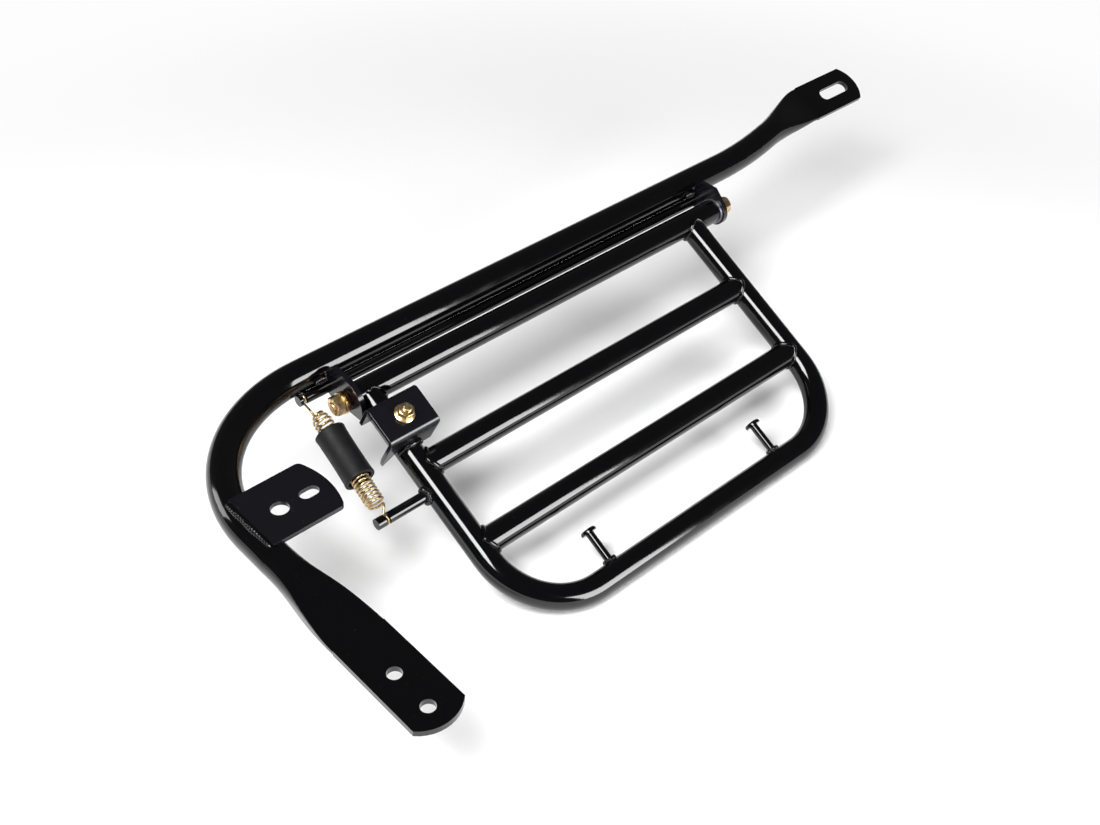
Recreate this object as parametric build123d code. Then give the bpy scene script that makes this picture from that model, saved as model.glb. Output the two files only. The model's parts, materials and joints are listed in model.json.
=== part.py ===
from build123d import *
import os
from math import acos, asin, atan2, cos, hypot, radians, sin, sqrt

os.makedirs("parts", exist_ok=True)

# Folding side rack of bent steel tube.  All sizes in millimetres.
#
# Frame: the origin is the centre of the foot's two bolt holes.  +Y runs up the leg to the
# rail, +X runs along the rail to the slotted end, and +Z is the side that the platform
# folds up to.  The rail, the big bend and the leg lie in the plane Z = 0.

# ---- Main tube: foot, leg, bend, rail, offset bend and slotted end ----
TUBE_D = 22.0              # outside diameter
TUBE_WALL = 1.8
FLAT_WIDTH = 34.8          # width of the tube where it is pressed flat
FLAT_THICKNESS = 4.0       # both walls pressed together
PRESS_MARK = 0.06          # step that the press leaves in the round wall
FOOT_SECTIONS = 5          # sections that shape each pressed taper
END_SECTIONS = 11
LEG_ROUND_Y = 122.0        # the leg is round above this height
FOOT_TAPER = 74.0          # length over which the leg is pressed from round to flat
FOOT_HOLE_SPACING = 28.5
FOOT_HOLE_D = 9.0
FOOT_TIP = 14.8            # from the lower hole's centre to the tip
FOOT_TIP_RADIUS = 24.0
FOOT_SHIFT = 1.5           # the pressed foot stands this far to the right of its holes
RAIL_HEIGHT = 255.0        # rail axis above the foot holes
BEND_RADIUS = 105.0        # big bend, on the centre line
RAIL_TAIL = 36.0           # straight rail past the right ear
JOG_LENGTH = 132.0         # length of the offset bend
JOG_EASE_IN = 60.0         # its slope grows over this length
JOG_EASE_OUT = 14.0        # and dies away over this one, at the flat
JOG_ROUND = 70.0           # it is round this far, and then pressed flat
JOG_OFFSET = 16.5          # sideways step of the offset bend
END_FLAT = 65.0            # length of the slotted flat
END_TIP_RADIUS = 24.0
SLOT_LENGTH = 35.0
SLOT_WIDTH = 11.0
SLOT_TO_TIP = 28.5         # slot centre to the tip

# ---- Mounting plate welded across the leg ----
PLATE_LENGTH = 54.5        # from the leg axis to the plate's tip
PLATE_WIDTH = 48.0
PLATE_THICKNESS = 3.0
PLATE_Y = 149.4            # plate's centre line above the foot holes
PLATE_SINK = 1.6           # how far the plate's underside lies below the tube's crest
PLATE_TIP_RADIUS = 60.0
PLATE_CORNER = 4.0
PLATE_HOLE_D = 11.5
PLATE_HOLE_Y = 147.8       # both holes, above the foot holes
PLATE_HOLE_X = 19.3
PLATE_SLOT_X = 40.0
PLATE_SLOT_LENGTH = 13.0
PLATE_SLOT_WIDTH = 8.5

# ---- Hinge ----
HINGE_DROP = 33.3          # hinge axis below the rail axis, along Y
HINGE_SET_BACK = 8.0       # hinge axis behind the rail axis, along Z
EAR_FROM_BEND = 15.0       # end of the big bend to the left ear's outer face
EAR_THICKNESS = 4.0
EAR_GAP = 356.0            # between the two ears' inner faces
EAR_LEFT_RADIUS = 16.5
EAR_LEFT_DROP = 9.0        # hinge axis down to the left ear's straight lower edge
EAR_RIGHT_RADIUS = 12.0
EAR_TOP = 18.5             # straight top edge above the hinge axis
EAR_TOP_START = 2.0        # hinge axis to the start of the top edge, towards the rail
EAR_TOP_SETBACK = 17.3     # end of the top edge to the rail's axis
EAR_END_DROP = 14.4        # the sloping end edge falls this far by the rail's axis
EAR_RELIEF = 1.6           # radius of the clearance where the anchor rod meets the rail
HINGE_TUBE_D = 19.0
PLATFORM_WALL = 1.5
END_PLAY = 0.5             # at each end of the hinge tube
THRUST_WASHER_D = 21.0
THRUST_WASHER_THICKNESS = 2.0
BUSH_LENGTH = 16.0
BOLT_D = 8.0
BOLT_RUNNING = 0.05        # radial clearance of the bolt in the bushes
BOLT_HOLE_CLEARANCE = 0.2  # radial clearance of the bolt in the ears and washers
BOLT_HEAD_AF = 13.0
BOLT_HEAD_HEIGHT = 6.5
WASHER_D = 16.0
WASHER_THICKNESS = 1.6
SPRING_WASHER_D = 14.6
SPRING_WASHER_THICKNESS = 2.4
SPRING_WASHER_SPLIT = 1.4
NUT_HEIGHT = 6.2
THIN_NUT_HEIGHT = 3.5
BOLT_TAIL = 1.0            # bolt showing past the lock nut

# ---- Folding platform ----
PLATFORM_TILT = 27.24      # the platform falls below the frame's plane by this angle, degrees
SIDE_TUBE_D = 19.0         # the loop and both crossbars
SIDE_INSET_LEFT = 10.9     # hinge tube's left end to the left side tube's axis
SIDE_INSET_RIGHT = 26.6
PLATFORM_REACH = 195.0     # hinge axis to the outer tube's axis
CROSSBARS = 2              # evenly spaced between the hinge and the outer tube
LOOP_CORNER = 56.0         # corner radius on the centre line
STRAP_PIN_SPACING = 168.0
STRAP_PIN_D = 6.0
STRAP_PIN_LENGTH = 26.0    # outer tube's surface to the top of the head
STRAP_HEAD_D = 12.0
STRAP_HEAD_HEIGHT = 3.0

# ---- Stop bracket on the left side tube ----
STOP_BACK = 19.0           # hinge axis to the bracket's back flange
STOP_LENGTH = 30.5
STOP_HEIGHT = 26.0         # top face above the platform's mid-plane
STOP_SHEET = 3.0
STOP_LEFT = 20.4           # left of the side tube's axis
STOP_RIGHT = 19.6
STOP_BEND = 4.0            # outside radius of the folds
STOP_TAIL_DROP = 8.0       # the left leg's point below the platform's mid-plane
STOP_TAIL_WIDTH = 9.0
STOP_LEG_WIDTH = 8.0
SCREW_D = 6.0
SCREW_HOLE_CLEARANCE = 0.2 # radial clearance of the screw in the bracket
SCREW_OUT = 10.0           # screw end above the bracket's top
SCREW_HEAD_AF = 10.0
SCREW_HEAD_HEIGHT = 4.0
FLANGE_NUT_D = 14.2
FLANGE_NUT_HEIGHT = 6.0
FLANGE_THICKNESS = 1.5

# ---- Over-centre spring with its two anchors ----
ROD_D = 8.0                # both anchors are cut from the same bar
ROD_ANGLE = 42.5           # the anchor rod lies this far below the rail's hinge side, degrees
ROD_OUT = 24.0             # left ear's outer face to the rod's free end
PIN_REACH = 83.0           # hinge axis to the spring pin's axis
PIN_OUT = 49.6             # side tube's axis to the pin's free end
GROOVE_DEPTH = 1.95        # deep enough for a hook to lie below the bar's surface
GROOVE_WIDTH = 3.0
ROD_GROOVE_FROM_END = 4.0  # groove centre to the free end
PIN_GROOVE_FROM_END = 7.6
SPRING_WIRE = 1.6
COIL_D = 13.0              # outside diameter of the coil
COIL_PITCH = 2.75
COIL_OFFSET_TOP = 3.0      # the coil's axis meets the rod this far beyond the hook
HOOK_GAP = 0.3             # between a hook and its groove
UPPER_TURNS = 8
LOWER_TURNS = 11
UPPER_COIL_START = 19.0    # from the rod's axis, along the spring
LOWER_COIL_END = 13.0      # from the pin's axis, along the spring
SLEEVE_D = 21.0
SLEEVE_BORE_GAP = 0.8      # between the coil and the sleeve's bore
SLEEVE_START = 30.6
SLEEVE_LENGTH = 40.0

WELD_BEAD = 2.4            # radius of a weld's run
WELD_BELOW = 0.2           # the run stays this far below the plate's top
ROD_WELD = 10.0            # length of each weld along the anchor rod
WELD_LUMP = 4.6            # radius of a weld's lump in a tube corner
EAR_LUMP = 3.7             # radius of a weld's lump beside an ear
STRAP_PIN_LUMP = 5.3
SPRING_PIN_LUMP = 6.4

# ---- Places worked out from the sizes above ----
tube_r = TUBE_D / 2
side_r = SIDE_TUBE_D / 2
hinge_r = HINGE_TUBE_D / 2
tilt = radians(PLATFORM_TILT)
left_ear_x = BEND_RADIUS + EAR_FROM_BEND
hinge_left_x = left_ear_x + EAR_THICKNESS + END_PLAY
right_ear_x = left_ear_x + EAR_THICKNESS + EAR_GAP
hinge_right_x = right_ear_x - THRUST_WASHER_THICKNESS - END_PLAY
rail_end_x = right_ear_x + EAR_THICKNESS + RAIL_TAIL
hinge_y = RAIL_HEIGHT - HINGE_DROP
hinge_z = -HINGE_SET_BACK
side_left_x = hinge_left_x + SIDE_INSET_LEFT
side_right_x = hinge_right_x - SIDE_INSET_RIGHT
platform_x = (side_left_x + side_right_x) / 2
half_width = (side_right_x - side_left_x) / 2
crossbar_pitch = PLATFORM_REACH / (CROSSBARS + 1)
screw_reach = STOP_BACK + STOP_LENGTH / 2

# The platform's own plane: x along the hinge, y back towards the hinge, z out of its top.
platform = Plane(
    origin=(platform_x, hinge_y, hinge_z), x_dir=(1, 0, 0), z_dir=(0, -sin(tilt), cos(tilt))
)


def rod(start, end, radius):
    """A plain round bar from one point to another."""
    start, end = Vector(*start), Vector(*end)
    plane = Plane(origin=start, z_dir=end - start)
    return plane * Cylinder(radius, (end - start).length, align=(Align.CENTER, Align.CENTER, Align.MIN))


def x_disc(x, y, z, radius, length):
    """A round bar along X that starts at x and runs to the right."""
    return rod((x, y, z), (x + length, y, z), radius)


def hexagon_x(x, y, z, across_flats, length):
    """A hexagonal bar along X that starts at x and runs to the right."""
    plane = Plane(origin=(x, y, z), x_dir=(0, 1, 0), z_dir=(1, 0, 0))
    return plane * extrude(RegularPolygon(across_flats / 2, 6, major_radius=False), length)


def cut(shape, *others):
    """The shape less the pieces that it lies against."""
    for other in others:
        shape = shape - other
    return shape


def solids(*shapes):
    """One compound of every solid in the shapes."""
    return Compound(children=[s for shape in shapes for s in shape.solids()])


def write(shape, node):
    """Write one node's STEP file."""
    shape.label = node
    export_step(shape, f"parts/{node}.step")


# ---- Main tube ----
def main_path(start_y):
    """Centre line of the round tube: leg, big bend and rail."""
    bend_y = RAIL_HEIGHT - BEND_RADIUS
    reach = BEND_RADIUS / sqrt(2)
    mid = (BEND_RADIUS - reach, bend_y + reach)
    leg = Line((0, start_y), (0, bend_y))
    turn = ThreePointArc(leg @ 1, mid, (BEND_RADIUS, RAIL_HEIGHT))
    return Wire([leg, turn, Line(turn @ 1, (rail_end_x, RAIL_HEIGHT))])


def eased(t):
    """A smooth step from 0 to 1."""
    return t * t * (3 - 2 * t)


def pressed(plane_at, length, steps, still_round=0.0):
    """Loft from the round tube to its pressed flat; plane_at(s) is the section's plane."""
    round_d = TUBE_D - 2 * PRESS_MARK
    sections = []
    for i in range(steps):
        s = length * i / (steps - 1)
        squeezed = eased(max(s - still_round, 0) / (length - still_round))
        high = round_d + (FLAT_THICKNESS - round_d) * squeezed
        wide = max(round_d + (FLAT_WIDTH - round_d) * squeezed, high + PRESS_MARK / 2)
        sections.append(plane_at(s) * SlotOverall(wide, high))
    return loft(sections)


def foot_plane(s):
    """Section plane at distance s down the leg's taper."""
    x = FOOT_SHIFT * s / FOOT_TAPER
    return Plane(origin=(x, LEG_ROUND_Y - s, 0), x_dir=(1, 0, 0), z_dir=(0, -1, 0))


def end_plane(s):
    """Section plane at distance s along the rail's end, which steps sideways in an S."""
    steepest = JOG_OFFSET / (JOG_LENGTH - (JOG_EASE_IN + JOG_EASE_OUT) / 2)
    s_bent = min(s, JOG_LENGTH)
    rise = min(s_bent, JOG_EASE_IN)
    fall = max(s_bent - JOG_LENGTH + JOG_EASE_OUT, 0)
    slope = steepest * (rise / JOG_EASE_IN - fall / JOG_EASE_OUT)
    step = steepest * (s_bent - rise + rise ** 2 / (2 * JOG_EASE_IN) - fall ** 2 / (2 * JOG_EASE_OUT))
    origin = Vector(rail_end_x + s, RAIL_HEIGHT, 0) + platform.y_dir * step
    along = Vector(1, 0, 0) + platform.y_dir * slope
    return Plane(origin=origin, x_dir=platform.y_dir - Vector(slope, 0, 0), z_dir=along)


def tip_face(length, width, tip_radius):
    """A flat strip from x = 0 whose far end is a shallow arc with eased corners."""
    strip = Rectangle(length, width, align=(Align.MIN, Align.CENTER))
    rounded = Location((length - tip_radius, 0)) * Circle(tip_radius)
    block = Rectangle(length - tip_radius, width, align=(Align.MIN, Align.CENTER))
    return strip & (rounded + block)


def main_tube_outside():
    """The tube's outside: round run, both pressed tapers and both flats, without holes."""
    path = main_path(LEG_ROUND_Y)
    start = Plane(origin=(0, LEG_ROUND_Y, 0), z_dir=(0, 1, 0))
    body = sweep(start * Circle(tube_r), path=path)
    body += pressed(foot_plane, FOOT_TAPER, FOOT_SECTIONS)
    body += pressed(end_plane, JOG_LENGTH, END_SECTIONS, JOG_ROUND)
    foot_top = LEG_ROUND_Y - FOOT_TAPER
    foot_length = foot_top + FOOT_HOLE_SPACING / 2 + FOOT_TIP
    foot = Plane(origin=(FOOT_SHIFT, foot_top, 0), x_dir=(0, -1, 0), z_dir=(0, 0, 1))
    body += foot * extrude(tip_face(foot_length, FLAT_WIDTH, FOOT_TIP_RADIUS), FLAT_THICKNESS / 2, both=True)
    end = Plane(origin=end_plane(JOG_LENGTH).origin, x_dir=(1, 0, 0), z_dir=platform.z_dir)
    body += end * extrude(tip_face(END_FLAT, FLAT_WIDTH, END_TIP_RADIUS), FLAT_THICKNESS / 2, both=True)
    return body


def main_tube_node(outside):
    """The hollow tube with its foot holes and end slot."""
    path = main_path(LEG_ROUND_Y)
    start = Plane(origin=(0, LEG_ROUND_Y, 0), z_dir=(0, 1, 0))
    body = outside - sweep(start * Circle(tube_r - TUBE_WALL), path=path)
    for side in (-1, 1):
        hole = Cylinder(FOOT_HOLE_D / 2, 2 * FLAT_THICKNESS)
        body -= Location((0, side * FOOT_HOLE_SPACING / 2, 0)) * hole
    slot_x = JOG_LENGTH + END_FLAT - SLOT_TO_TIP
    slot_plane = Plane(origin=end_plane(slot_x).origin, x_dir=(1, 0, 0), z_dir=platform.z_dir)
    body -= slot_plane * extrude(SlotOverall(SLOT_LENGTH, SLOT_WIDTH), FLAT_THICKNESS, both=True)
    return body


# ---- Mounting plate ----
def mount_plate_node(outside):
    """The plate over the leg's crest, cut to the tube, with its round and long holes."""
    under = tube_r - PLATE_SINK
    face = tip_face(PLATE_LENGTH, PLATE_WIDTH, PLATE_TIP_RADIUS)
    tip_corners = face.vertices().sort_by(Axis.X)[-2:]
    face = fillet(tip_corners, PLATE_CORNER)
    plate = Location((0, PLATE_Y, under)) * extrude(face, PLATE_THICKNESS)
    hole = Cylinder(PLATE_HOLE_D / 2, 3 * PLATE_THICKNESS)
    plate -= Location((PLATE_HOLE_X, PLATE_HOLE_Y, under)) * hole
    long_hole = extrude(SlotOverall(PLATE_SLOT_LENGTH, PLATE_SLOT_WIDTH), 2 * PLATE_THICKNESS, both=True)
    plate -= Location((PLATE_SLOT_X, PLATE_HOLE_Y, under)) * long_hole
    return cut(plate, outside)


def mount_plate_weld_node(outside, plate):
    """The run along the plate's left edge, down onto the tube."""
    reach = PLATE_WIDTH / 2 - WELD_BEAD
    level = tube_r - PLATE_SINK + PLATE_THICKNESS - WELD_BEAD - WELD_BELOW
    start, end = (-WELD_BEAD / 2, PLATE_Y - reach, level), (-WELD_BEAD / 2, PLATE_Y + reach, level)
    run = rod(start, end, WELD_BEAD) + Location(start) * Sphere(WELD_BEAD) + Location(end) * Sphere(WELD_BEAD)
    return cut(run, outside, plate)


# ---- Ears, anchor rod and hinge fasteners ----
groove_r = ROD_D / 2 - GROOVE_DEPTH
rod_distance = tube_r + ROD_D / 2
rod_y = RAIL_HEIGHT - rod_distance * cos(radians(ROD_ANGLE))
rod_z = -rod_distance * sin(radians(ROD_ANGLE))
touch_y = RAIL_HEIGHT - tube_r * cos(radians(ROD_ANGLE))
touch_z = -tube_r * sin(radians(ROD_ANGLE))
rod_left_x = left_ear_x - ROD_OUT
rod_right_x = right_ear_x


def tangent_point(point, radius, side):
    """Where the tangent from a point touches a circle about the origin; side is 1 or -1."""
    angle = atan2(point[1], point[0]) + side * acos(radius / hypot(*point))
    return (radius * cos(angle), radius * sin(angle))


def ear(x, radius, drop, outside, anchor):
    """A hinge ear of flat bar: round about the hinge axis, butted on the rail's side.
    A drop shorter than the radius gives it a straight lower edge."""
    plane = Plane(origin=(x, hinge_y, hinge_z), x_dir=(0, 1, 0), z_dir=(1, 0, 0))
    low = (HINGE_DROP, HINGE_SET_BACK - tube_r * 0.9)
    top_start, top_end = (EAR_TOP_START, EAR_TOP), (HINGE_DROP - EAR_TOP_SETBACK, EAR_TOP)
    end_edge = (HINGE_DROP, EAR_TOP - EAR_END_DROP)
    outline = Polyline(
        (0, 0), tangent_point(top_start, radius, 1), top_start, top_end, end_edge, low,
        tangent_point(low, radius, -1), close=True
    )
    face = make_face(outline) + Circle(radius)
    if drop < radius:
        face -= Location((0, -drop - radius)) * Rectangle(4 * radius, 2 * radius)
    face -= Circle(BOLT_D / 2 + BOLT_HOLE_CLEARANCE)
    relief = x_disc(x, touch_y, touch_z, EAR_RELIEF, EAR_THICKNESS)
    return cut(plane * extrude(face, EAR_THICKNESS), outside, anchor, relief)


def grooved_rod(x_free, x_fixed, y, z, groove_from_end):
    """A round anchor along X with a hook groove near its free left end."""
    bar = x_disc(x_free, y, z, ROD_D / 2, x_fixed - x_free)
    groove_x = x_free + groove_from_end - GROOVE_WIDTH / 2
    ring = x_disc(groove_x, y, z, ROD_D, GROOVE_WIDTH) - x_disc(groove_x, y, z, groove_r, GROOVE_WIDTH)
    return bar - ring


def rod_weld(x, length, outside, anchor, *ears):
    """A run in the groove between the anchor rod and the rail, on the open side."""
    angle = radians(ROD_ANGLE) - asin(0.62)
    reach = tube_r + WELD_BEAD * 0.55
    y, z = RAIL_HEIGHT - reach * cos(angle), -reach * sin(angle)
    return cut(x_disc(x, y, z, WELD_BEAD, length), outside, anchor, *ears)


def ear_weld(x, height, outside, anchor, plate):
    """A lump in the corner between an ear's face and the rail."""
    y = RAIL_HEIGHT - sqrt(tube_r ** 2 - height ** 2)
    return cut(Location((x, y, height)) * Sphere(EAR_LUMP), outside, anchor, plate)


def washer(x, diameter=WASHER_D, thickness=WASHER_THICKNESS):
    """A plain washer on the hinge bolt, from x to the right."""
    ring = x_disc(x, hinge_y, hinge_z, diameter / 2, thickness)
    return ring - x_disc(x, hinge_y, hinge_z, BOLT_D / 2 + BOLT_HOLE_CLEARANCE, thickness)


def spring_washer(x):
    """A split spring washer, squeezed flat, with its slanting cut on the upper side."""
    ring = washer(x, SPRING_WASHER_D, SPRING_WASHER_THICKNESS)
    middle = Plane(origin=(x + SPRING_WASHER_THICKNESS / 2, hinge_y, hinge_z), z_dir=(1, 0, 0))
    tall = 2 * SPRING_WASHER_THICKNESS + SPRING_WASHER_D
    slit = Rotation(0, 30, 0) * Box(SPRING_WASHER_SPLIT, SPRING_WASHER_D, tall)
    slit = Location((0, SPRING_WASHER_D / 2, 0)) * slit
    return ring - middle * slit


def bolt_nut(x, height):
    """A hexagon nut on the hinge bolt with chamfered corners, from x to the right."""
    hexagon = hexagon_x(x, hinge_y, hinge_z, BOLT_HEAD_AF, height)
    corner_r = BOLT_HEAD_AF / sqrt(3)
    rounded = x_disc(x, hinge_y, hinge_z, corner_r, height)
    rounded = chamfer(rounded.edges().filter_by(GeomType.CIRCLE), corner_r * 0.07)
    return (hexagon & rounded) - x_disc(x, hinge_y, hinge_z, BOLT_D / 2, height)


def hinge_bolt(tip_x, head_x):
    """The long bolt through both ears and the hinge tube, with its head on the right."""
    shank = x_disc(tip_x, hinge_y, hinge_z, BOLT_D / 2, head_x - tip_x)
    shank = chamfer(shank.edges().sort_by(Axis.X)[0], BOLT_D * 0.1)
    head = hexagon_x(head_x, hinge_y, hinge_z, BOLT_HEAD_AF, BOLT_HEAD_HEIGHT)
    corner_r = BOLT_HEAD_AF / sqrt(3)
    rounded = x_disc(head_x, hinge_y, hinge_z, corner_r, BOLT_HEAD_HEIGHT)
    rounded = chamfer(rounded.edges().filter_by(GeomType.CIRCLE).sort_by(Axis.X)[-1], corner_r * 0.12)
    return shank + (head & rounded)


# ---- Platform: every piece is drawn in the platform's own plane ----
def on_platform(x, reach, height):
    """A point x from the platform's middle, reach out from the hinge and height above it."""
    return platform.from_local_coords((x, -reach, height))


def loop_solid(radius):
    """The bent side tube: out from the hinge, across and back, as one swept bar."""
    corner = LOOP_CORNER
    diagonal = corner * (1 - 1 / sqrt(2))
    reach = PLATFORM_REACH
    runs = []
    for side in (-1, 1):
        straight = [on_platform(side * half_width, 0, 0), on_platform(side * half_width, reach - corner, 0)]
        middle = on_platform(side * (half_width - diagonal), reach - diagonal, 0)
        far = on_platform(side * (half_width - corner), reach, 0)
        runs.append((straight, middle, far))
    (left, left_mid, left_far), (right, right_mid, right_far) = runs
    path = Wire([
        Line(*left), ThreePointArc(left[1], left_mid, left_far), Line(left_far, right_far),
        ThreePointArc(right_far, right_mid, right[1]), Line(right[1], right[0]),
    ])
    section = Plane(origin=left[0], z_dir=-platform.y_dir) * Circle(radius)
    return sweep(section, path=path)


def crossbar_solid(reach, radius):
    """A straight bar between the side tubes' axes."""
    return rod(on_platform(-half_width, reach, 0), on_platform(half_width, reach, 0), radius)


def strap_pin(x):
    """A round pin with a domed head that points from the outer tube to the hinge."""
    base = Plane(origin=on_platform(x, PLATFORM_REACH, 0), z_dir=platform.y_dir)
    top = side_r + STRAP_PIN_LENGTH
    cylinder_up = (Align.CENTER, Align.CENTER, Align.MIN)
    shank = Cylinder(STRAP_PIN_D / 2, top - STRAP_HEAD_HEIGHT / 2, align=cylinder_up)
    head = Cylinder(STRAP_HEAD_D / 2, STRAP_HEAD_HEIGHT, align=cylinder_up)
    rim = head.edges().filter_by(GeomType.CIRCLE).sort_by(Axis.Z)[-1]
    head = fillet(rim, STRAP_HEAD_HEIGHT * 0.6)
    return base * (shank + Location((0, 0, top - STRAP_HEAD_HEIGHT)) * head)


def lump(x, reach, height, radius):
    """A ball of weld metal at a place on the platform."""
    return Location(on_platform(x, reach, height)) * Sphere(radius)


def stop_bracket_solid(loop):
    """A folded steel channel over the left side tube; its legs stand on the tube."""
    x_left, x_right = -half_width - STOP_LEFT, -half_width + STOP_RIGHT
    back, front = -STOP_BACK, -STOP_BACK - STOP_LENGTH
    low = -STOP_TAIL_DROP - 1
    centre = ((back + front) / 2, (STOP_HEIGHT + low) / 2)
    outer = Rectangle(STOP_LENGTH, STOP_HEIGHT - low)
    outer = fillet(outer.vertices().group_by(Axis.Y)[-1], STOP_BEND)
    inner = Rectangle(STOP_LENGTH - 2 * STOP_SHEET, STOP_HEIGHT - low)
    inner = fillet(inner.vertices().group_by(Axis.Y)[-1], STOP_BEND - STOP_SHEET)
    channel = Location(centre) * (outer - Location((0, -STOP_SHEET)) * inner)
    side_view = Plane(origin=platform.from_local_coords((x_left, 0, 0)), x_dir=platform.y_dir, z_dir=(1, 0, 0))
    folded = side_view * extrude(channel, x_right - x_left)
    axis_x = -half_width
    legs = Polyline(
        (x_left, STOP_HEIGHT + 1), (x_left, 0), (x_left + 1.5, -STOP_TAIL_DROP),
        (x_left + STOP_TAIL_WIDTH, side_r * 0.55), (axis_x, side_r * 0.55),
        (x_right - STOP_LEG_WIDTH - 1, side_r * 0.55), (x_right - STOP_LEG_WIDTH, -1),
        (x_right, -1), (x_right, STOP_HEIGHT + 1), close=True
    )
    front_view = Plane(origin=platform.origin, x_dir=(1, 0, 0), z_dir=-platform.y_dir)
    cutter = front_view * extrude(make_face(legs), STOP_BACK + STOP_LENGTH + 5)
    bracket = folded & cutter
    # The back flange stands on the tube and has no legs beside it.
    below = STOP_HEIGHT
    back_legs = platform * Location((-half_width, -STOP_BACK, side_r * 0.55 - below / 2))
    bracket -= back_legs * Box(2 * (STOP_LEFT + STOP_RIGHT), STOP_LENGTH, below)
    screw_top = STOP_HEIGHT + SCREW_OUT
    screw_ends = on_platform(axis_x, screw_reach, 0), on_platform(axis_x, screw_reach, screw_top)
    hole = rod(*screw_ends, SCREW_D / 2 + SCREW_HOLE_CLEARANCE)
    return cut(bracket, loop, hole)


def bracket_weld(reach, loop, bracket, *others):
    """A run round the upper half of the side tube against one of the bracket's flanges."""
    ring_r = side_r + WELD_BEAD / 3
    ring = Plane(origin=on_platform(-half_width, reach, 0), z_dir=platform.y_dir) * Torus(ring_r, WELD_BEAD)
    block = 4 * ring_r
    upper = Plane(origin=on_platform(-half_width, reach, WELD_BEAD + block / 2), z_dir=platform.z_dir)
    upper = upper * Box(block, block, block)
    return cut(ring & upper, loop, bracket, *others)


def stop_screw_node():
    """The screw under the bracket's top, standing up through it."""
    x, reach = -half_width, screw_reach
    seat = STOP_HEIGHT - STOP_SHEET
    head_base = on_platform(x, reach, seat - SCREW_HEAD_HEIGHT)
    head_plane = Plane(origin=head_base, x_dir=(1, 0, 0), z_dir=platform.z_dir)
    head = head_plane * extrude(RegularPolygon(SCREW_HEAD_AF / 2, 6, major_radius=False), SCREW_HEAD_HEIGHT)
    shank = rod(on_platform(x, reach, seat - 1), on_platform(x, reach, STOP_HEIGHT + SCREW_OUT), SCREW_D / 2)
    return head + shank


def flange_nut_node():
    """The flanged nut on the stop screw."""
    x, reach = -half_width, screw_reach
    plane = Plane(origin=on_platform(x, reach, STOP_HEIGHT), x_dir=(1, 0, 0), z_dir=platform.z_dir)
    up = (Align.CENTER, Align.CENTER, Align.MIN)
    nut = Cylinder(FLANGE_NUT_D / 2, FLANGE_THICKNESS, align=up)
    nut += extrude(RegularPolygon(SCREW_HEAD_AF / 2, 6, major_radius=False), FLANGE_NUT_HEIGHT)
    nut -= Cylinder(SCREW_D / 2, FLANGE_NUT_HEIGHT, align=up)
    return plane * nut


# ---- Spring: two halves that meet inside the sleeve ----
pin_axis = on_platform(0, PIN_REACH, 0)
pin_left_x = side_left_x - PIN_OUT
hook_top = Vector(rod_left_x + ROD_GROOVE_FROM_END, rod_y, rod_z)
hook_low = Vector(pin_left_x + PIN_GROOVE_FROM_END, pin_axis.Y, pin_axis.Z)
spring_top = hook_top + Vector(COIL_OFFSET_TOP, 0, 0)
spring_dir = (hook_low - spring_top).normalized()
spring_length = (hook_low - spring_top).length
coil_r = (COIL_D - SPRING_WIRE) / 2
hook_r = groove_r + HOOK_GAP + SPRING_WIRE / 2


def spring_plane(distance):
    """The plane across the coil at a distance from the anchor rod's axis."""
    return Plane(origin=spring_top + spring_dir * distance, x_dir=(1, 0, 0), z_dir=spring_dir)


def coil(distance, turns, start_angle):
    """A round-wire helix that starts at the distance and runs towards the spring pin."""
    helix = Edge.make_helix(COIL_PITCH, COIL_PITCH * turns, coil_r)
    section = Plane(origin=helix @ 0, z_dir=helix % 0) * Circle(SPRING_WIRE / 2)
    wire = sweep(section, path=helix, is_frenet=True)
    return spring_plane(distance) * (Rotation(0, 0, start_angle) * wire)


def hooked(wire, centre, joint):
    """The coil with a hook round an anchor's groove and a stem between the two."""
    ring = Plane(origin=centre, z_dir=(1, 0, 0)) * Torus(hook_r, SPRING_WIRE / 2)
    flat = Vector(0, joint.Y - centre.Y, joint.Z - centre.Z).normalized()
    foot = centre + flat * hook_r
    wire += Location(joint) * Sphere(SPRING_WIRE * 0.65)
    wire += rod(foot, joint, SPRING_WIRE / 2)
    return wire + ring


def spring_upper_node():
    """The upper half: a hook round the anchor rod and the coil below it."""
    joint = spring_plane(UPPER_COIL_START).from_local_coords((-coil_r, 0, 0))
    return hooked(coil(UPPER_COIL_START, UPPER_TURNS, 180), hook_top, joint)


def spring_lower_node():
    """The lower half: the coil that comes out of the sleeve and the hook round the spring pin."""
    start = spring_length - LOWER_COIL_END - LOWER_TURNS * COIL_PITCH
    joint = spring_plane(spring_length - LOWER_COIL_END).from_local_coords((coil_r, 0, 0))
    return hooked(coil(start, LOWER_TURNS, 0), hook_low, joint)


def sleeve_node():
    """The rubber sleeve round the middle of the spring."""
    start, end = spring_plane(SLEEVE_START).origin, spring_plane(SLEEVE_START + SLEEVE_LENGTH).origin
    return rod(start, end, SLEEVE_D / 2) - rod(start, end, COIL_D / 2 + SLEEVE_BORE_GAP)


# ---- Build the frame ----
tube_outside = main_tube_outside()
anchor_rod = cut(grooved_rod(rod_left_x, rod_right_x, rod_y, rod_z, ROD_GROOVE_FROM_END), tube_outside)
mount_plate = mount_plate_node(tube_outside)
left_ear = ear(left_ear_x, EAR_LEFT_RADIUS, EAR_LEFT_DROP, tube_outside, anchor_rod)
right_ear = ear(right_ear_x, EAR_RIGHT_RADIUS, EAR_RIGHT_RADIUS, tube_outside, anchor_rod)

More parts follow.
